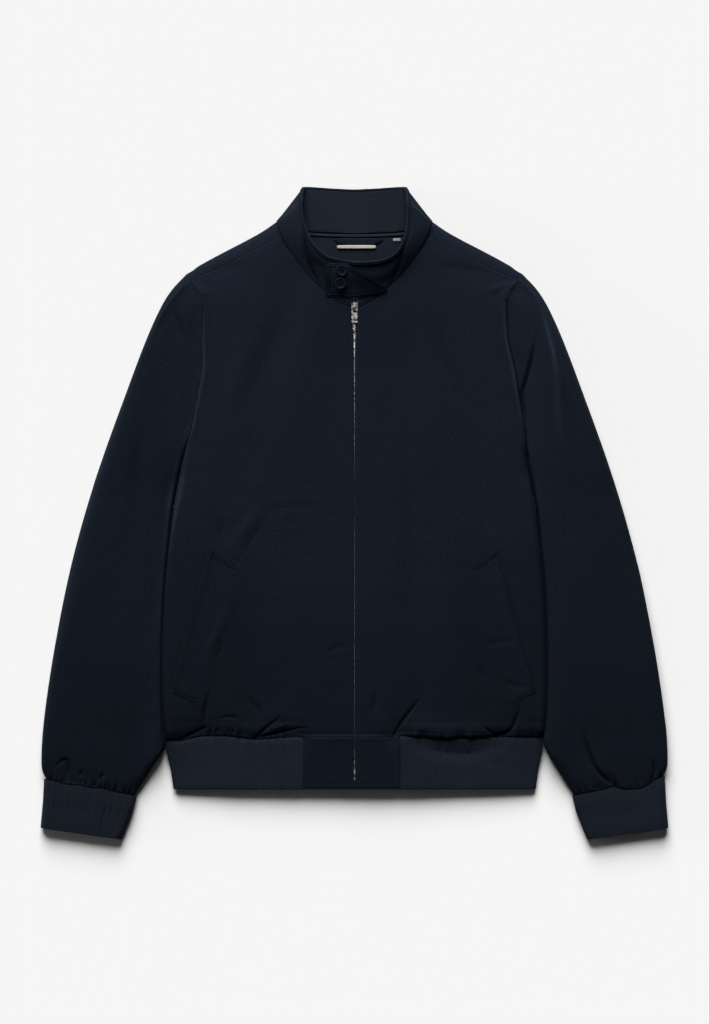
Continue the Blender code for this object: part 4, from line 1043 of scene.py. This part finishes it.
# The outer edge of a sleeve, in plan
SLEEVE_EDGE = (
    (229, 254.5), (250.5, 207), (277, 135), (303.3, 63), (326, -9), (344.5, -81), (358.5, -153), (370, -225),
    (376.2, -285), (376, -311), (370.5, -322),
)


def tuck_beside(points, side):
    """A sleeve lies flat up to its folded edges, and the inner one slips under the body's side."""
    x, y, z = (points / MM).T
    inner, slip = (read_all(SLEEVE_TUCKS, y, k) for k in (1, 2))
    near = 1 - fade(side * x - inner, 0, 26)
    by_body = band(y, -318, -285, 10, 45)
    to_edge = beside(curved(SLEEVE_EDGE), side * x, y)
    to_body = beside(curved([(row[1], row[0]) for row in SLEEVE_TUCKS]), side * x, y)
    raised = tighter(to_edge, 6, 14) * (1 - fade(y, 195, 240)) + tighter(to_body, 5, 14) * by_body
    upper = fade(z, 9.5, 12)
    high = z + 13 * raised * upper * fade(y, -322, -300)
    flat = (1 - fade(y, 10, 90)) * 0.16
    high -= (high - 10.5) * flat * upper
    high -= 4.2 * (1 - fade(to_body, 0, 3.5)) * by_body * fade(z, 2, 7)
    moved = points.copy()
    moved[:, 0] -= side * np.maximum(slip - 0.4, 0) * near * MM
    moved[:, 2] = high * MM
    return moved


def ease_armhole(piece, points, crown=26.0, share=0.75, reach=11.0):
    """The cloth beside an armhole seam lies nearly as high as the rest, with a fine ridge."""
    x, y, z = (points / MM).T
    out = np.abs(x)
    found = np.flatnonzero(on_rim(piece) & (z > 14.5) & (y > 60) & (y < 282) & (out > 168) & (out < 236))
    plan = points * (1, 1, 0)
    tree = tree_of(plan[found])
    tops = [max(z[found[other]] for _, other, _ in tree.find_range(plan[k], 2 * MM)) for k in found]
    moved = points.copy()
    for i in np.flatnonzero((z > 12) & (y > 20) & (y < 300) & (out > 150) & (out < 262)):
        _, k, away = tree.find(plan[i])
        away /= MM
        if away > 2.5 * reach:
            continue
        at = y[found[k]]
        held = float(band(at, 62, 100, 258, 284))
        lift = share * (crown - tops[k]) * (1 - float(quarter_round(away / reach)))
        moved[i, 2] += MM * held * lift
    return moved


def overhang(points):
    """The blouse of the left front folds over the top of the hem rib."""
    x, y, z = (points / MM).T
    near = band(x, 52, 84, 150, 176) * band(y, -273, -268, -262, -236) * fade(z, 12, 19)
    near *= 0.72 + 0.28 * np.sin(x / 5.3 + 1.4 * np.sin(x / 11))
    moved = points.copy()
    moved[:, 1] -= MM * 2.0 * near * (1 - fade(y, -264, -240))
    moved[:, 2] += MM * 1.2 * near
    return moved


def close_seams(pieces, reach=1.6, soft=5.0, halfway=0.49):
    """Brings cut edges that were sewn together up to each other, and takes the cloth beside along."""
    edges = []
    for piece in pieces:
        points = points_of(piece)
        beside_zip = (np.abs(points[:, 0]) < 6 * MM) & (points[:, 1] < ZIP_TOP * MM)
        edges.append((points, points[on_rim(piece) & ~beside_zip]))
    shifts = []
    for k, (points, rim) in enumerate(edges):
        others = tree_of(np.vstack([edge for j, (_, edge) in enumerate(edges) if j != k]))
        pull = np.zeros((len(rim), 3))
        for i, point in enumerate(rim):
            place, _, away = others.find(point)
            if away < reach * MM:
                pull[i] = (np.array(place) - point) * halfway
        own = tree_of(rim)
        moved = points.copy()
        for i, point in enumerate(points):
            _, near, away = own.find(point)
            if away < soft * MM:
                moved[i] += pull[near] * (1 - away / (soft * MM)) ** 2
        shifts.append(moved)
    for piece, moved in zip(pieces, shifts):
        set_points(piece, moved)


# Seams sewn across a panel, drawn as dark lines; on the fronts the line beside each welt's mouth is painted
# shadow under its edge: panel, points
DRAWN_SEAMS = {
    "front_right": ((-177, -48), (-195, -113), (-223, -214)),
    "front_left": ((174.5, -44), (192.5, -113), (221, -214)),
    "sleeve_top_right": ((-235, -140), (-237, -157), (-251, -203), (-267, -253), (-278, -287), (-290, -329)),
}


def at_armhole(x, y, z):
    """Points of a cut edge on the armhole seam's upper side."""
    return (np.abs(np.abs(x) - read_all(ARMHOLE, y, 1)) < 4) & (y > 44) & (z > 8)


def at_zip_or_rib(x, y, z):
    return ((np.abs(x) < 7) & (y < ZIP_TOP)) | (y < RIB_SEAM)


def mark_panel(piece, name, points):
    """What the twill needs to know: painted shade in the creases, painted highlights on crests, edges, seams
    and stitch rows, and painted shade beside the armhole seams.
    """
    store(piece, "deep", crease_shade(points, UPPER_CREASES))
    store(piece, "lit", lit_share(points))
    store(piece, "edge", rim_distance(piece))
    nowhere = np.full(len(points), FAR)
    store(piece, "stitched", rim_distance(piece, at_zip_or_rib) if name.startswith("front") else nowhere)
    signed = nowhere
    if name in DRAWN_SEAMS:
        x, y, _ = (points / MM).T
        _, signed, run, whole = along_line(curved(DRAWN_SEAMS[name]), x, y)
        signed = signed * MM
        store(piece, "sewn", 0.4 * band(run, 0, 4, whole - 4, whole))
    store(piece, "seam", signed)
    # Painted shade along the armhole seam on the sleeve tops, fainter on the right sleeve
    if name.startswith("sleeve_top"):
        width = 0.004
        deepest = 0.0014 if name.endswith("right") else width
        store(piece, "dip", np.clip(width - rim_distance(piece, at_armhole), 0, deepest))


def make_panels(cloth):
    made = {}
    for name, turn, width, length, area, below in PANELS:
        piece = panel(name)
        on_top = name.startswith(("front", "sleeve_top"))
        if on_top:
            refine(piece)
        lay_grain(piece, math.radians(turn))
        points = points_of(piece)
        mark_panel(piece, name, points)
        if name.startswith("sleeve"):
            points = tuck_beside(points, 1 if name.endswith("left") else -1)
        if on_top:
            points = ease_armhole(piece, points)
        if name.startswith("front"):
            points = meet_at_zip(points)
        if name == "front_left":
            points = overhang(points)
        set_points(piece, settle(points))
        dress(piece, cloth, name, slot="navy_cloth")
        made[name] = piece
    return made


# ------------------------------------------------------------------ knitted ribs

# The hem rib's top and its depth, and a row for each level: y, half width, crown, drop at the side,
# edge height, roll
HEM_TOP, HEM_DEPTH = -272.4, 59.4
HEM_ROWS = (
    (-332, 217.8, 16.0, 6.5, 5.5, 9),
    (-309, 221.0, 17.0, 6.5, 6.0, 10),
    (-285, 226.0, 18.0, 6.0, 7.0, 12),
    (-272, 227.3, 18.5, 5.5, 8.0, 13),
)

# Where the strips beside the zip end and the rib starts, in x
HEM_STRIPS = (-62.0, 54.8)

# A cuff: level, outer x, y, inner x, y, height
CUFF_ROWS = (
    (0.00, 370.3, -322, 263.8, -340, 16.5),
    (0.35, 371.5, -343, 267.5, -356, 17.0),
    (0.80, 373.6, -369, 276.5, -381, 16.0),
    (1.00, 374.6, -378, 281.3, -391, 15.0),
)

# The knit in millimetres: a wale's width, the band's thickness, how far a wale stands out
WALE = 2.2
KNIT = 2.3
RIB_RELIEF = 0.2
POINTS_A_WALE = 6


def hem_section(level):
    """The outer face of the hem rib at a level, as x and z, from the right strip round the back."""
    y = HEM_TOP - HEM_DEPTH * level
    half, crown, drop, edge, roll = (read_rows(HEM_ROWS, y, k) for k in range(1, 6))
    turns = np.linspace(math.pi / 2, 0, 24)
    rolled = half - roll * (1 - np.cos(turns))
    halves = []
    for strip in HEM_STRIPS:
        flat = np.linspace(abs(strip), half - roll, 60)[:-1]
        xs = np.concatenate([flat, rolled])
        rise = np.concatenate([np.ones(len(flat)), np.sin(turns)])
        zs = edge + (crown - drop * (xs / half) ** 2 - edge) * rise
        xs = np.concatenate([xs, rolled[-2::-1]])
        zs = np.concatenate([zs, edge * (1 - np.sin(turns[-2::-1]))])
        halves.append(np.stack([np.sign(strip) * xs, zs], axis=1))
    middle = np.stack([np.linspace(-(half - roll), half - roll, 160)[1:-1], np.zeros(158)], axis=1)
    line = np.vstack([halves[0], middle, halves[1][::-1]])
    return np.stack([line[:, 0], np.full(len(line), y), line[:, 1]], axis=1)


def cuff_section(side, level):
    """The outer face of a cuff at a level, a closed ring."""
    ox, oy, ix, iy, height = (read_rows(CUFF_ROWS, level, k) for k in range(1, 6))
    width = math.hypot(ix - ox, iy - oy)
    edge, roll = 0.42 * height, 6.5
    turns = np.linspace(0, math.pi / 2, 16)
    out = roll * (1 - np.cos(turns))
    flat = np.linspace(roll, width - roll, 40)[1:-1]
    top = np.concatenate([out, flat, width - out[::-1]])
    rise = np.concatenate([np.sin(turns), np.ones(len(flat)), np.sin(turns)[::-1]])
    share = np.concatenate([top, top[::-1][1:-1]]) / width
    rises = np.concatenate([rise, rise[::-1][1:-1]])
    z = edge + (height - edge) * rises
    z[len(top):] = edge * (1 - rises[len(top):])
    x = side * (ox + (ix - ox) * share)
    y = oy + (iy - oy) * share - 0.4
    return np.stack([x, y, z], axis=1)


def even_steps(line, count, closed):
    """A line at this many places, the same distance apart."""
    if closed:
        line = np.vstack([line, line[:1]])
    run = np.concatenate([[0], np.cumsum(np.linalg.norm(np.diff(line, axis=0), axis=1))])
    places = np.linspace(0, run[-1], count + 1 if closed else count)
    if closed:
        places = places[:-1]
    return np.stack([np.interp(places, run, line[:, k]) for k in range(3)], axis=1), run[-1]


def knitted(name, section, closed, outward, rows=15):
    """A ribbed double band: wales on its face, a folded outer edge, and a plain inner face."""
    _, length = even_steps(section(0.5), 2, closed)
    count = round(length / WALE) * POINTS_A_WALE + (0 if closed else 1)
    rib = RIB_RELIEF * np.cos(2 * math.pi * np.arange(count) / POINTS_A_WALE)
    levels = [0.0, 0.018, *np.linspace(0, 1, rows)[1:]]
    fronts = np.array([even_steps(section(level), count, closed)[0] for level in levels])
    if closed:
        ahead = np.roll(fronts, -1, axis=1) - np.roll(fronts, 1, axis=1)
    else:
        ahead = np.gradient(fronts, axis=1)
    ways = np.cross(ahead, np.gradient(fronts, axis=0)) * outward
    ways /= np.linalg.norm(ways, axis=2)[:, :, None]
    down = fronts[-1] - fronts[-2]
    down /= np.linalg.norm(down, axis=1)[:, None]
    grid = []
    for level, front, way in zip(levels, fronts, ways):
        tuck = RIB_RELIEF + 1.3 * (1 - fade(level, -0.012, 0.045))
        grid.append(front + way * (rib * fade(level, -0.02, 0.06))[:, None] - way * tuck)
    for turn in np.radians((30, 75, 105, 150)):
        inset = KNIT / 2 * (1 - math.cos(turn)) + RIB_RELIEF
        raised = (rib * (0.5 + 0.5 * math.cos(turn)))[:, None]
        grid.append(fronts[-1] + down * (KNIT / 2 * math.sin(turn)) - ways[-1] * inset + ways[-1] * raised)
    for k in (rows, rows // 2, 0):
        grid.append(fronts[k] - ways[k] * (KNIT + RIB_RELIEF))
    grid = np.array(grid)
    total, across = grid.shape[:2]
    heights = np.cumsum([0, *np.linalg.norm(np.diff(grid, axis=0), axis=2).mean(axis=1)])
    faces = []
    for i in range(total):
        here, below = i * across, (i + 1) % total * across
        for j in range(across if closed else across - 1):
            after = (j + 1) % across
            faces.append((here + j, here + after, below + after, below + j))
    if not closed:
        first = [i * across for i in range(total)]
        faces += [first, [k + across - 1 for k in first[::-1]]]
    if outward > 0:
        faces = [face[::-1] for face in faces]
    piece = built(name, (grid.reshape(-1, 3) * MM).tolist(), [], faces)
    u = np.tile(np.arange(across) * WALE / POINTS_A_WALE, total) * MM
    v = np.repeat(heights, across) * MM
    lay_grain(piece, 0.0, np.stack([u, v], axis=1))
    return piece


# The seam up a cuff: cuff, points
CUFF_SEAMS = {"cuff_right": ((-292, -330), (-302, -365), (-310, -392))}


def lay_knit(piece, line=None):
    """The knit settles with the cloth above it, with its seam where it has one."""
    points = points_of(piece)
    x, y, z = (points / MM).T
    seam = np.full(len(points), FAR)
    if line:
        seam = np.where(z > 7, beside(line, x, y) * MM, FAR)
    store(piece, "seam", seam)
    set_points(piece, settle(points))


def make_ribs(knit):
    for name, section, closed, outward, flat, area in (
        ("hem_rib", hem_section, False, 1, (0.79, 0.064), 0.0485),
        ("cuff_right", partial(cuff_section, -1), True, 1, (0.22, 0.06), 0.0125),
        ("cuff_left", partial(cuff_section, 1), True, -1, (0.22, 0.06), 0.0125),
    ):
        rib = knitted(f"{name}_knit", section, closed, outward)
        lay_knit(rib, CUFF_SEAMS.get(name))
        dress(rib, knit, name, slot="navy_rib")


# ------------------------------------------------------------------ the studio


def studio():
    """A pale floor under two soft lamps and a weak sky, and the camera straight above."""
    far, low = 6.0, -0.0003
    corners = [(-far, -far, low), (far, -far, low), (far, far, low), (-far, far, low)]
    floor = built("studio_floor", corners, [], [(0, 1, 2, 3)])
    paper = Recipe("studio_floor", (0.83, 0.83, 0.825), 0.9, Specular_IOR_Level=0.0)
    finish_in(floor, paper.material)
    sky = bpy.data.worlds.new("soft_room")
    sky.use_nodes = True
    ground = sky.node_tree.nodes["Background"]
    ground.inputs["Color"].default_value = (1, 1, 1, 1)
    ground.inputs["Strength"].default_value = 0.035
    bpy.context.scene.world = sky
    for name, energy, angle, way in (
        ("key", 6.0, 41, (-0.1, 0.83, 0.545)),
        ("side", 1.2, 22, (-0.99, 0.1, 0.06)),
    ):
        lamp = bpy.data.lights.new(name, "SUN")
        lamp.energy = energy
        lamp.angle = math.radians(angle)
        light = bpy.data.objects.new(name, lamp)
        light.rotation_euler = Vector(way).to_track_quat("Z", "Y").to_euler()
        bpy.context.scene.collection.objects.link(light)
    height, crown, seen = 6.0, 0.012, 1.2288
    lens = bpy.data.cameras.new("camera")
    lens.lens = lens.sensor_width * (height - crown) / seen
    lens.clip_end = 50
    camera = bpy.data.objects.new("camera", lens)
    camera.location = (0, 0, height)
    bpy.context.scene.collection.objects.link(camera)
    bpy.context.scene.camera = camera
    bpy.context.scene.view_settings.view_transform = "Standard"


# ------------------------------------------------------------------ collar, tab, welts and neck


def trim(name, material, slot, shape, levels=3, turn=0):
    """A smaller sewn-on piece, which lies on the panels and goes with them."""
    piece = panel(name, levels)
    lay_grain(piece, math.radians(turn))
    points = settle(points_of(piece))
    store(piece, "edge", rim_distance(piece))
    store(piece, "seam", np.full(len(points), FAR))
    store(piece, "stitched", np.full(len(points), FAR))
    if shape is not None:
        points = shape(piece, points)
    points[:, 2] = np.maximum(points[:, 2], 0)
    set_points(piece, points)
    dress(piece, material, name, slot=slot)
    return piece


# The collar's free edge, in plan
COLLAR_EDGE = (
    (0, 387.6), (-40, 389.4), (-61.8, 390), (-62.7, 373), (-61.8, 360), (-59.6, 347.5), (-55.5, 334.5),
    (-49, 322.5), (-38, 311.3), (-27, 305), (-14.5, 301.7), (-2, 300.3), (18, 300), (32.7, 302),
    (43.6, 306.7), (51.8, 314), (57.3, 324), (60.5, 335.3), (62.2, 356.7), (62.7, 373), (61.8, 390),
    (40, 389.4), (0, 387.6),
)


def roll_rim(piece, points):
    """The collar's free edge is a soft double roll, held by a row of stitches inside it."""
    cut = points_of(piece)
    free = rim_distance(piece, lambda x, y, z: beside(COLLAR_EDGE, x, y) < 1.8)
    store(piece, "stitched", free)
    # Painted shade in the collar's creases and in the trough under its rim
    store(piece, "deep", crease_shade(cut, COLLAR_CREASES, 0.8, 0.9))
    free = free / MM
    fold = np.sin(np.pi * np.clip(free / 5.2, 0, 1)) ** 0.7 * 0.8
    row = -0.45 * bell(free - 5.6, 0.9)
    x, y, z = (cut / MM).T
    row += strokes(x, y, COLLAR_CREASES) * (free > 5) * fade(z, 18, 24)
    lean = points_of(piece, "normal") * ((fold + row) * MM)[:, None]
    return lower_front(points + lean)


def lower_front(points):
    """The collar's front and its tab come down to the body towards their lower edge."""
    x, y, z = (points / MM).T
    body = 30
    share = 0.45 + 0.55 * fade(y, 252, 284)
    share = 1 - (1 - share) * (1 - fade(np.abs(x), 42, 64))
    moved = points.copy()
    moved[:, 2] = np.where(z > body, body + (z - body) * share, z) * MM
    return moved


def press_tab(piece, points):
    """Two rows of stitches press the throat tab's edges down."""
    store(piece, "bar", stored(piece, "edge"))
    x, y, _ = (points / MM).T
    # Painted shadow of the collar's rim over the tab's upper part
    store(piece, "deep", stroke(x, y, 10, 1.5, ((-14, 296), (4, 288), (24, 281), (44, 268))))
    return lower_front(points)


# A right welt's mouth and its inner edge, in plan
WELT_MOUTH = ((-171, -46), (-189, -113), (-218, -216))
WELT_INNER = ((-143, -68), (-160, -128), (-188, -231))


def sink_welt(piece, points):
    """The pocket welt lies flush in the front, with only its mouth edge a little proud."""
    front = over([piece.name.replace("welt", "front")])
    ways = points_of(piece, "normal")

    def at_mouth(x, y, z):
        return beside(WELT_MOUTH, -np.abs(x), y) < 3

    def not_inside(x, y, z):
        return beside(WELT_INNER, -np.abs(x), y) > 3.5

    def at_end(x, y, z):
        return not_inside(x, y, z) & ~at_mouth(x, y, z)

    mouth = rim_distance(piece, at_mouth)
    store(piece, "edge", rim_distance(piece, not_inside))
    store(piece, "stitched", mouth)
    # The dark line along the mouth is painted shadow under its proud edge
    store(piece, "seam", mouth - 0.0004)
    store(piece, "sewn", np.ones(len(mouth)))
    store(piece, "bar", rim_distance(piece, at_end))
    proud = 0.12 + 0.65 * (1 - fade(mouth / MM, 0.8, 7))
    moved = points.copy()
    for k, point in enumerate(points):
        height = front(point[0], point[1])
        if height is not None:
            moved[k, 2] = height + (proud[k] if ways[k, 2] > 0 else -1.3) * MM
    return moved


def slim_bar(piece, points):
    """A label's bar is narrower than its solid."""
    moved = points.copy()
    middle = (points[:, 1].max() + points[:, 1].min()) / 2
    moved[:, 1] = middle + (points[:, 1] - middle) * 0.7
    return moved


def make_trims(cloth):
    rolled = twill("collar_twill", darker(NAVY, 1.05), rolled=1.6, double=1.0)
    # The tab's twill is painted paler than the navy, against the shade on its sloping face
    tab = twill("tab_twill", darker(NAVY, 1.15), rolled=0.9)
    made = {}
    for name, material, flat, area, turn, below, shape in (
        ("collar", rolled, (0.46, 0.06), 0.0216, 0, "back", roll_rim),
        ("throat_tab", tab, (0.074, 0.042), 0.0024, 0, "collar", press_tab),
        ("welt_right", cloth, (0.035, 0.175), 0.0059, 16, "front_right", sink_welt),
        ("welt_left", cloth, (0.035, 0.175), 0.0059, -16, "front_left", sink_welt),
    ):
        made[name] = trim(name, material, "navy_cloth", shape, turn=turn)
    return made


def make_neck():
    lining = plain_weave("navy_lining_finish", (0.0085, 0.0116, 0.019))
    piping = plain_weave("piping_finish", (0.016, 0.022, 0.031))
    patch = plain_weave("label_patch_finish", (0.0078, 0.0103, 0.016), roughness=0.8)
    bar = plain_weave("label_bar_finish", (0.47, 0.46, 0.41), pitch=0.0007, roughness=0.85)
    tab = plain_weave("size_tab_finish", (0.26, 0.27, 0.29), pitch=0.0006, roughness=0.85)
    inner = rib_knit("collar_rib_finish", darker(RIB_NAVY, 1.2), pitch=0.0024)
    for name, material, slot, flat, area, below, shape in (
        ("collar_rib", inner, "navy_rib", (0.185, 0.053), 0.0086, "collar", None),
        ("neck_facing", lining, "navy_lining", (0.16, 0.102), 0.0155, "back", None),
        ("neck_piping", piping, "piping", (0.17, 0.011), 0.00075, "back", None),
        ("label_patch", patch, "label_dark", (0.064, 0.011), 0.00062, "neck_facing", None),
        ("label_bar", bar, "label_cream", (0.047, 0.01), 0.00023, "label_patch", slim_bar),
        ("size_tab", tab, "label_grey", (0.01, 0.01), 0.000042, "neck_facing", slim_bar),
    ):
        trim(name, material, slot, shape, levels=2)
    return lining


def over(names):
    """A function for the height of these pieces' upper side at x, y, all in metres."""
    trees = []
    for name in names:
        piece = bpy.data.objects[name]
        faces = [tuple(face.vertices) for face in piece.data.polygons]
        trees.append(BVHTree.FromPolygons([v.co for v in piece.data.vertices], faces))

    def height(x, y):
        hits = [tree.ray_cast(Vector((x, y, 1)), Vector((0, 0, -1)))[0] for tree in trees]
        hits = [hit.z for hit in hits if hit is not None]
        return max(hits) if hits else None

    return height


# ------------------------------------------------------------------ zip, buttons and stitches


def zip_gap(y):
    """Half the gap between the cloth edges as they lie, in millimetres."""
    return float(read_all(ZIP_GAPS, y, 2))


def edge_height(cloth, y, gap, inside=1.6):
    """The height of the cloth edges beside the zip, in millimetres."""
    found = [cloth(side * (gap + inside) * MM, y * MM) for side in (-1, 1)]
    return max(height for height in found if height is not None) / MM


def make_teeth(metal, cloth):
    """Two rows of teeth between the cloth edges, as wide as the gap lets them show."""
    pitch, start, end, widest = 2.4, 236.5, -297.0, 2.6
    lines, gaps = [], []
    for side, shift, deeper in ((-1, 0.0, 0.0), (1, pitch / 2, 1.3)):
        line, widths = [], []
        for y in np.arange(start - shift, end, -pitch):
            gap = zip_gap(y)
            wide = min(gap, widest)
            out = side * max(0.0, wide - 1.2) * 0.55
            depth = 1.1 + 0.4 * fade(gap, 1.0, 2.4) + deeper * (1 - fade(gap, 0.3, 0.9))
            line.append((out * MM, y * MM, (edge_height(cloth, y, gap) - depth) * MM))
            widths.append((2 * (wide - abs(out)) + 0.5 * (1 - fade(gap, 0.6, 1.6))) * MM)
        lines.append(line)
        gaps.append(widths)
    teeth = tooth_jig().run(lines_mesh("tooth_line", lines, gaps), "zip_teeth", metal)
    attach(teeth, JACKET)
    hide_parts("zip_chain")


def make_tape(node, side, lining, cloth):
    """A zip tape lies under the edge of its front."""
    top, bottom, step = 241, -318, 3.0
    across = (0.15, 1.2, 2.8, 6.0, 10.0, 14.0)
    levels = np.arange(top, bottom, -step)
    count = len(across)
    grid, faces = [], []
    for y in levels:
        held = float(np.clip(y, -317, ZIP_TOP))
        z = edge_height(cloth, held, zip_gap(held) + 0.4)
        grid += [(side * x * MM, y * MM, z * MM - (2.3 + 0.03 * x) * MM) for x in across]
    for i in range(len(levels) - 1):
        for j in range(count - 1):
            k = i * count + j
            face = (k, k + 1, k + count + 1, k + count)
            faces.append(face[::-1] if side > 0 else face)
    tape = built(f"{node}_cloth", grid, [], faces)
    thick = tape.modifiers.new("thick", "SOLIDIFY")
    thick.thickness = 0.7 * MM
    thick.offset = -1
    tape = baked(tape, f"{node}_cloth")
    lay_grain(tape)
    dress(tape, lining, node, slot="navy_lining")


def make_zip(metal, lining):
    cloth = over(["front_right_cloth", "front_left_cloth"])
    make_teeth(metal, cloth)
    make_tape("zip_tape_right", -1, lining, cloth)
    make_tape("zip_tape_left", 1, lining, cloth)
    for name in ("zip_box", "zip_slider", "zip_pull"):
        finish_in(nodes[name], metal)


def make_buttons():
    resin = button_plastic()
    for name in ("button_upper", "button_lower"):
        finish_in(nodes[name], resin)


def upper_lines(piece, values, level, wanted=None):
    """Lines on the upper face of a piece at a level of its values, lifted just clear."""
    keep = points_of(piece, "normal")[:, 2] > 0.1
    if wanted is not None:
        keep &= wanted(*(points_of(piece) / MM).T)
    places, links = contour(piece, values, level, keep)
    places[:, 2] += CLEAR
    return places, links


# Rows of stitches on the trims: piece, how far in from the edge in metres, which edge
TRIM_ROWS = (
    ("collar", 0.0056, "stitched"),
    ("throat_tab", 0.0032, "edge"),
    ("welt_right", STITCH_ROW, "stitched"),
    ("welt_left", STITCH_ROW, "stitched"),
)

# Rows across the throat tab beside its buttons: x, first y, last y
TAB_ROWS = ((-5.6, 281, 268), (-3.8, 281, 268), (-31, 296, 283), (-27.6, 297, 283))


def make_stitches(panels, trims):
    strand = thread("navy_thread", (0.0085, 0.0122, 0.02))
    lines = []
    for word, side in (("right", -1), ("left", 1)):
        front = panels[f"front_{word}"]
        near_zip = rim_distance(front, lambda x, y, z: (side * x < 7) & (y < ZIP_TOP))
        lines.append(upper_lines(front, near_zip, 0.0062, lambda x, y, z: y < 232))
        near_rib = rim_distance(front, lambda x, y, z: (y < RIB_SEAM) & (side * x > 50))
        for inset in (0.0024, STITCH_ROW):
            lines.append(upper_lines(front, near_rib, inset))
    for name, inset, mark in TRIM_ROWS:
        piece = trims[name]
        lines.append(upper_lines(piece, stored(piece, mark), inset))
    tab = over(["throat_tab_cloth"])
    for x, start, end in TAB_ROWS:
        steps = [(x * MM, y * MM) for y in np.linspace(start, end, 8)]
        lines.append([(a, b, tab(a, b) + CLEAR) for a, b in steps if tab(a, b) is not None])
    made = stitch_jig().run(lines_mesh("stitch_lines", lines), "topstitching", strand)
    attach(made, JACKET)


def main():
    studio()
    cloth = twill("navy_twill")
    knit = rib_knit("navy_rib_knit")
    metal = zip_metal()
    panels = make_panels(cloth)
    make_ribs(knit)
    trims = make_trims(cloth)
    lining = make_neck()
    close_seams([*panels.values(), trims["collar"]])
    make_zip(metal, lining)
    make_buttons()
    make_stitches(panels, trims)


main()
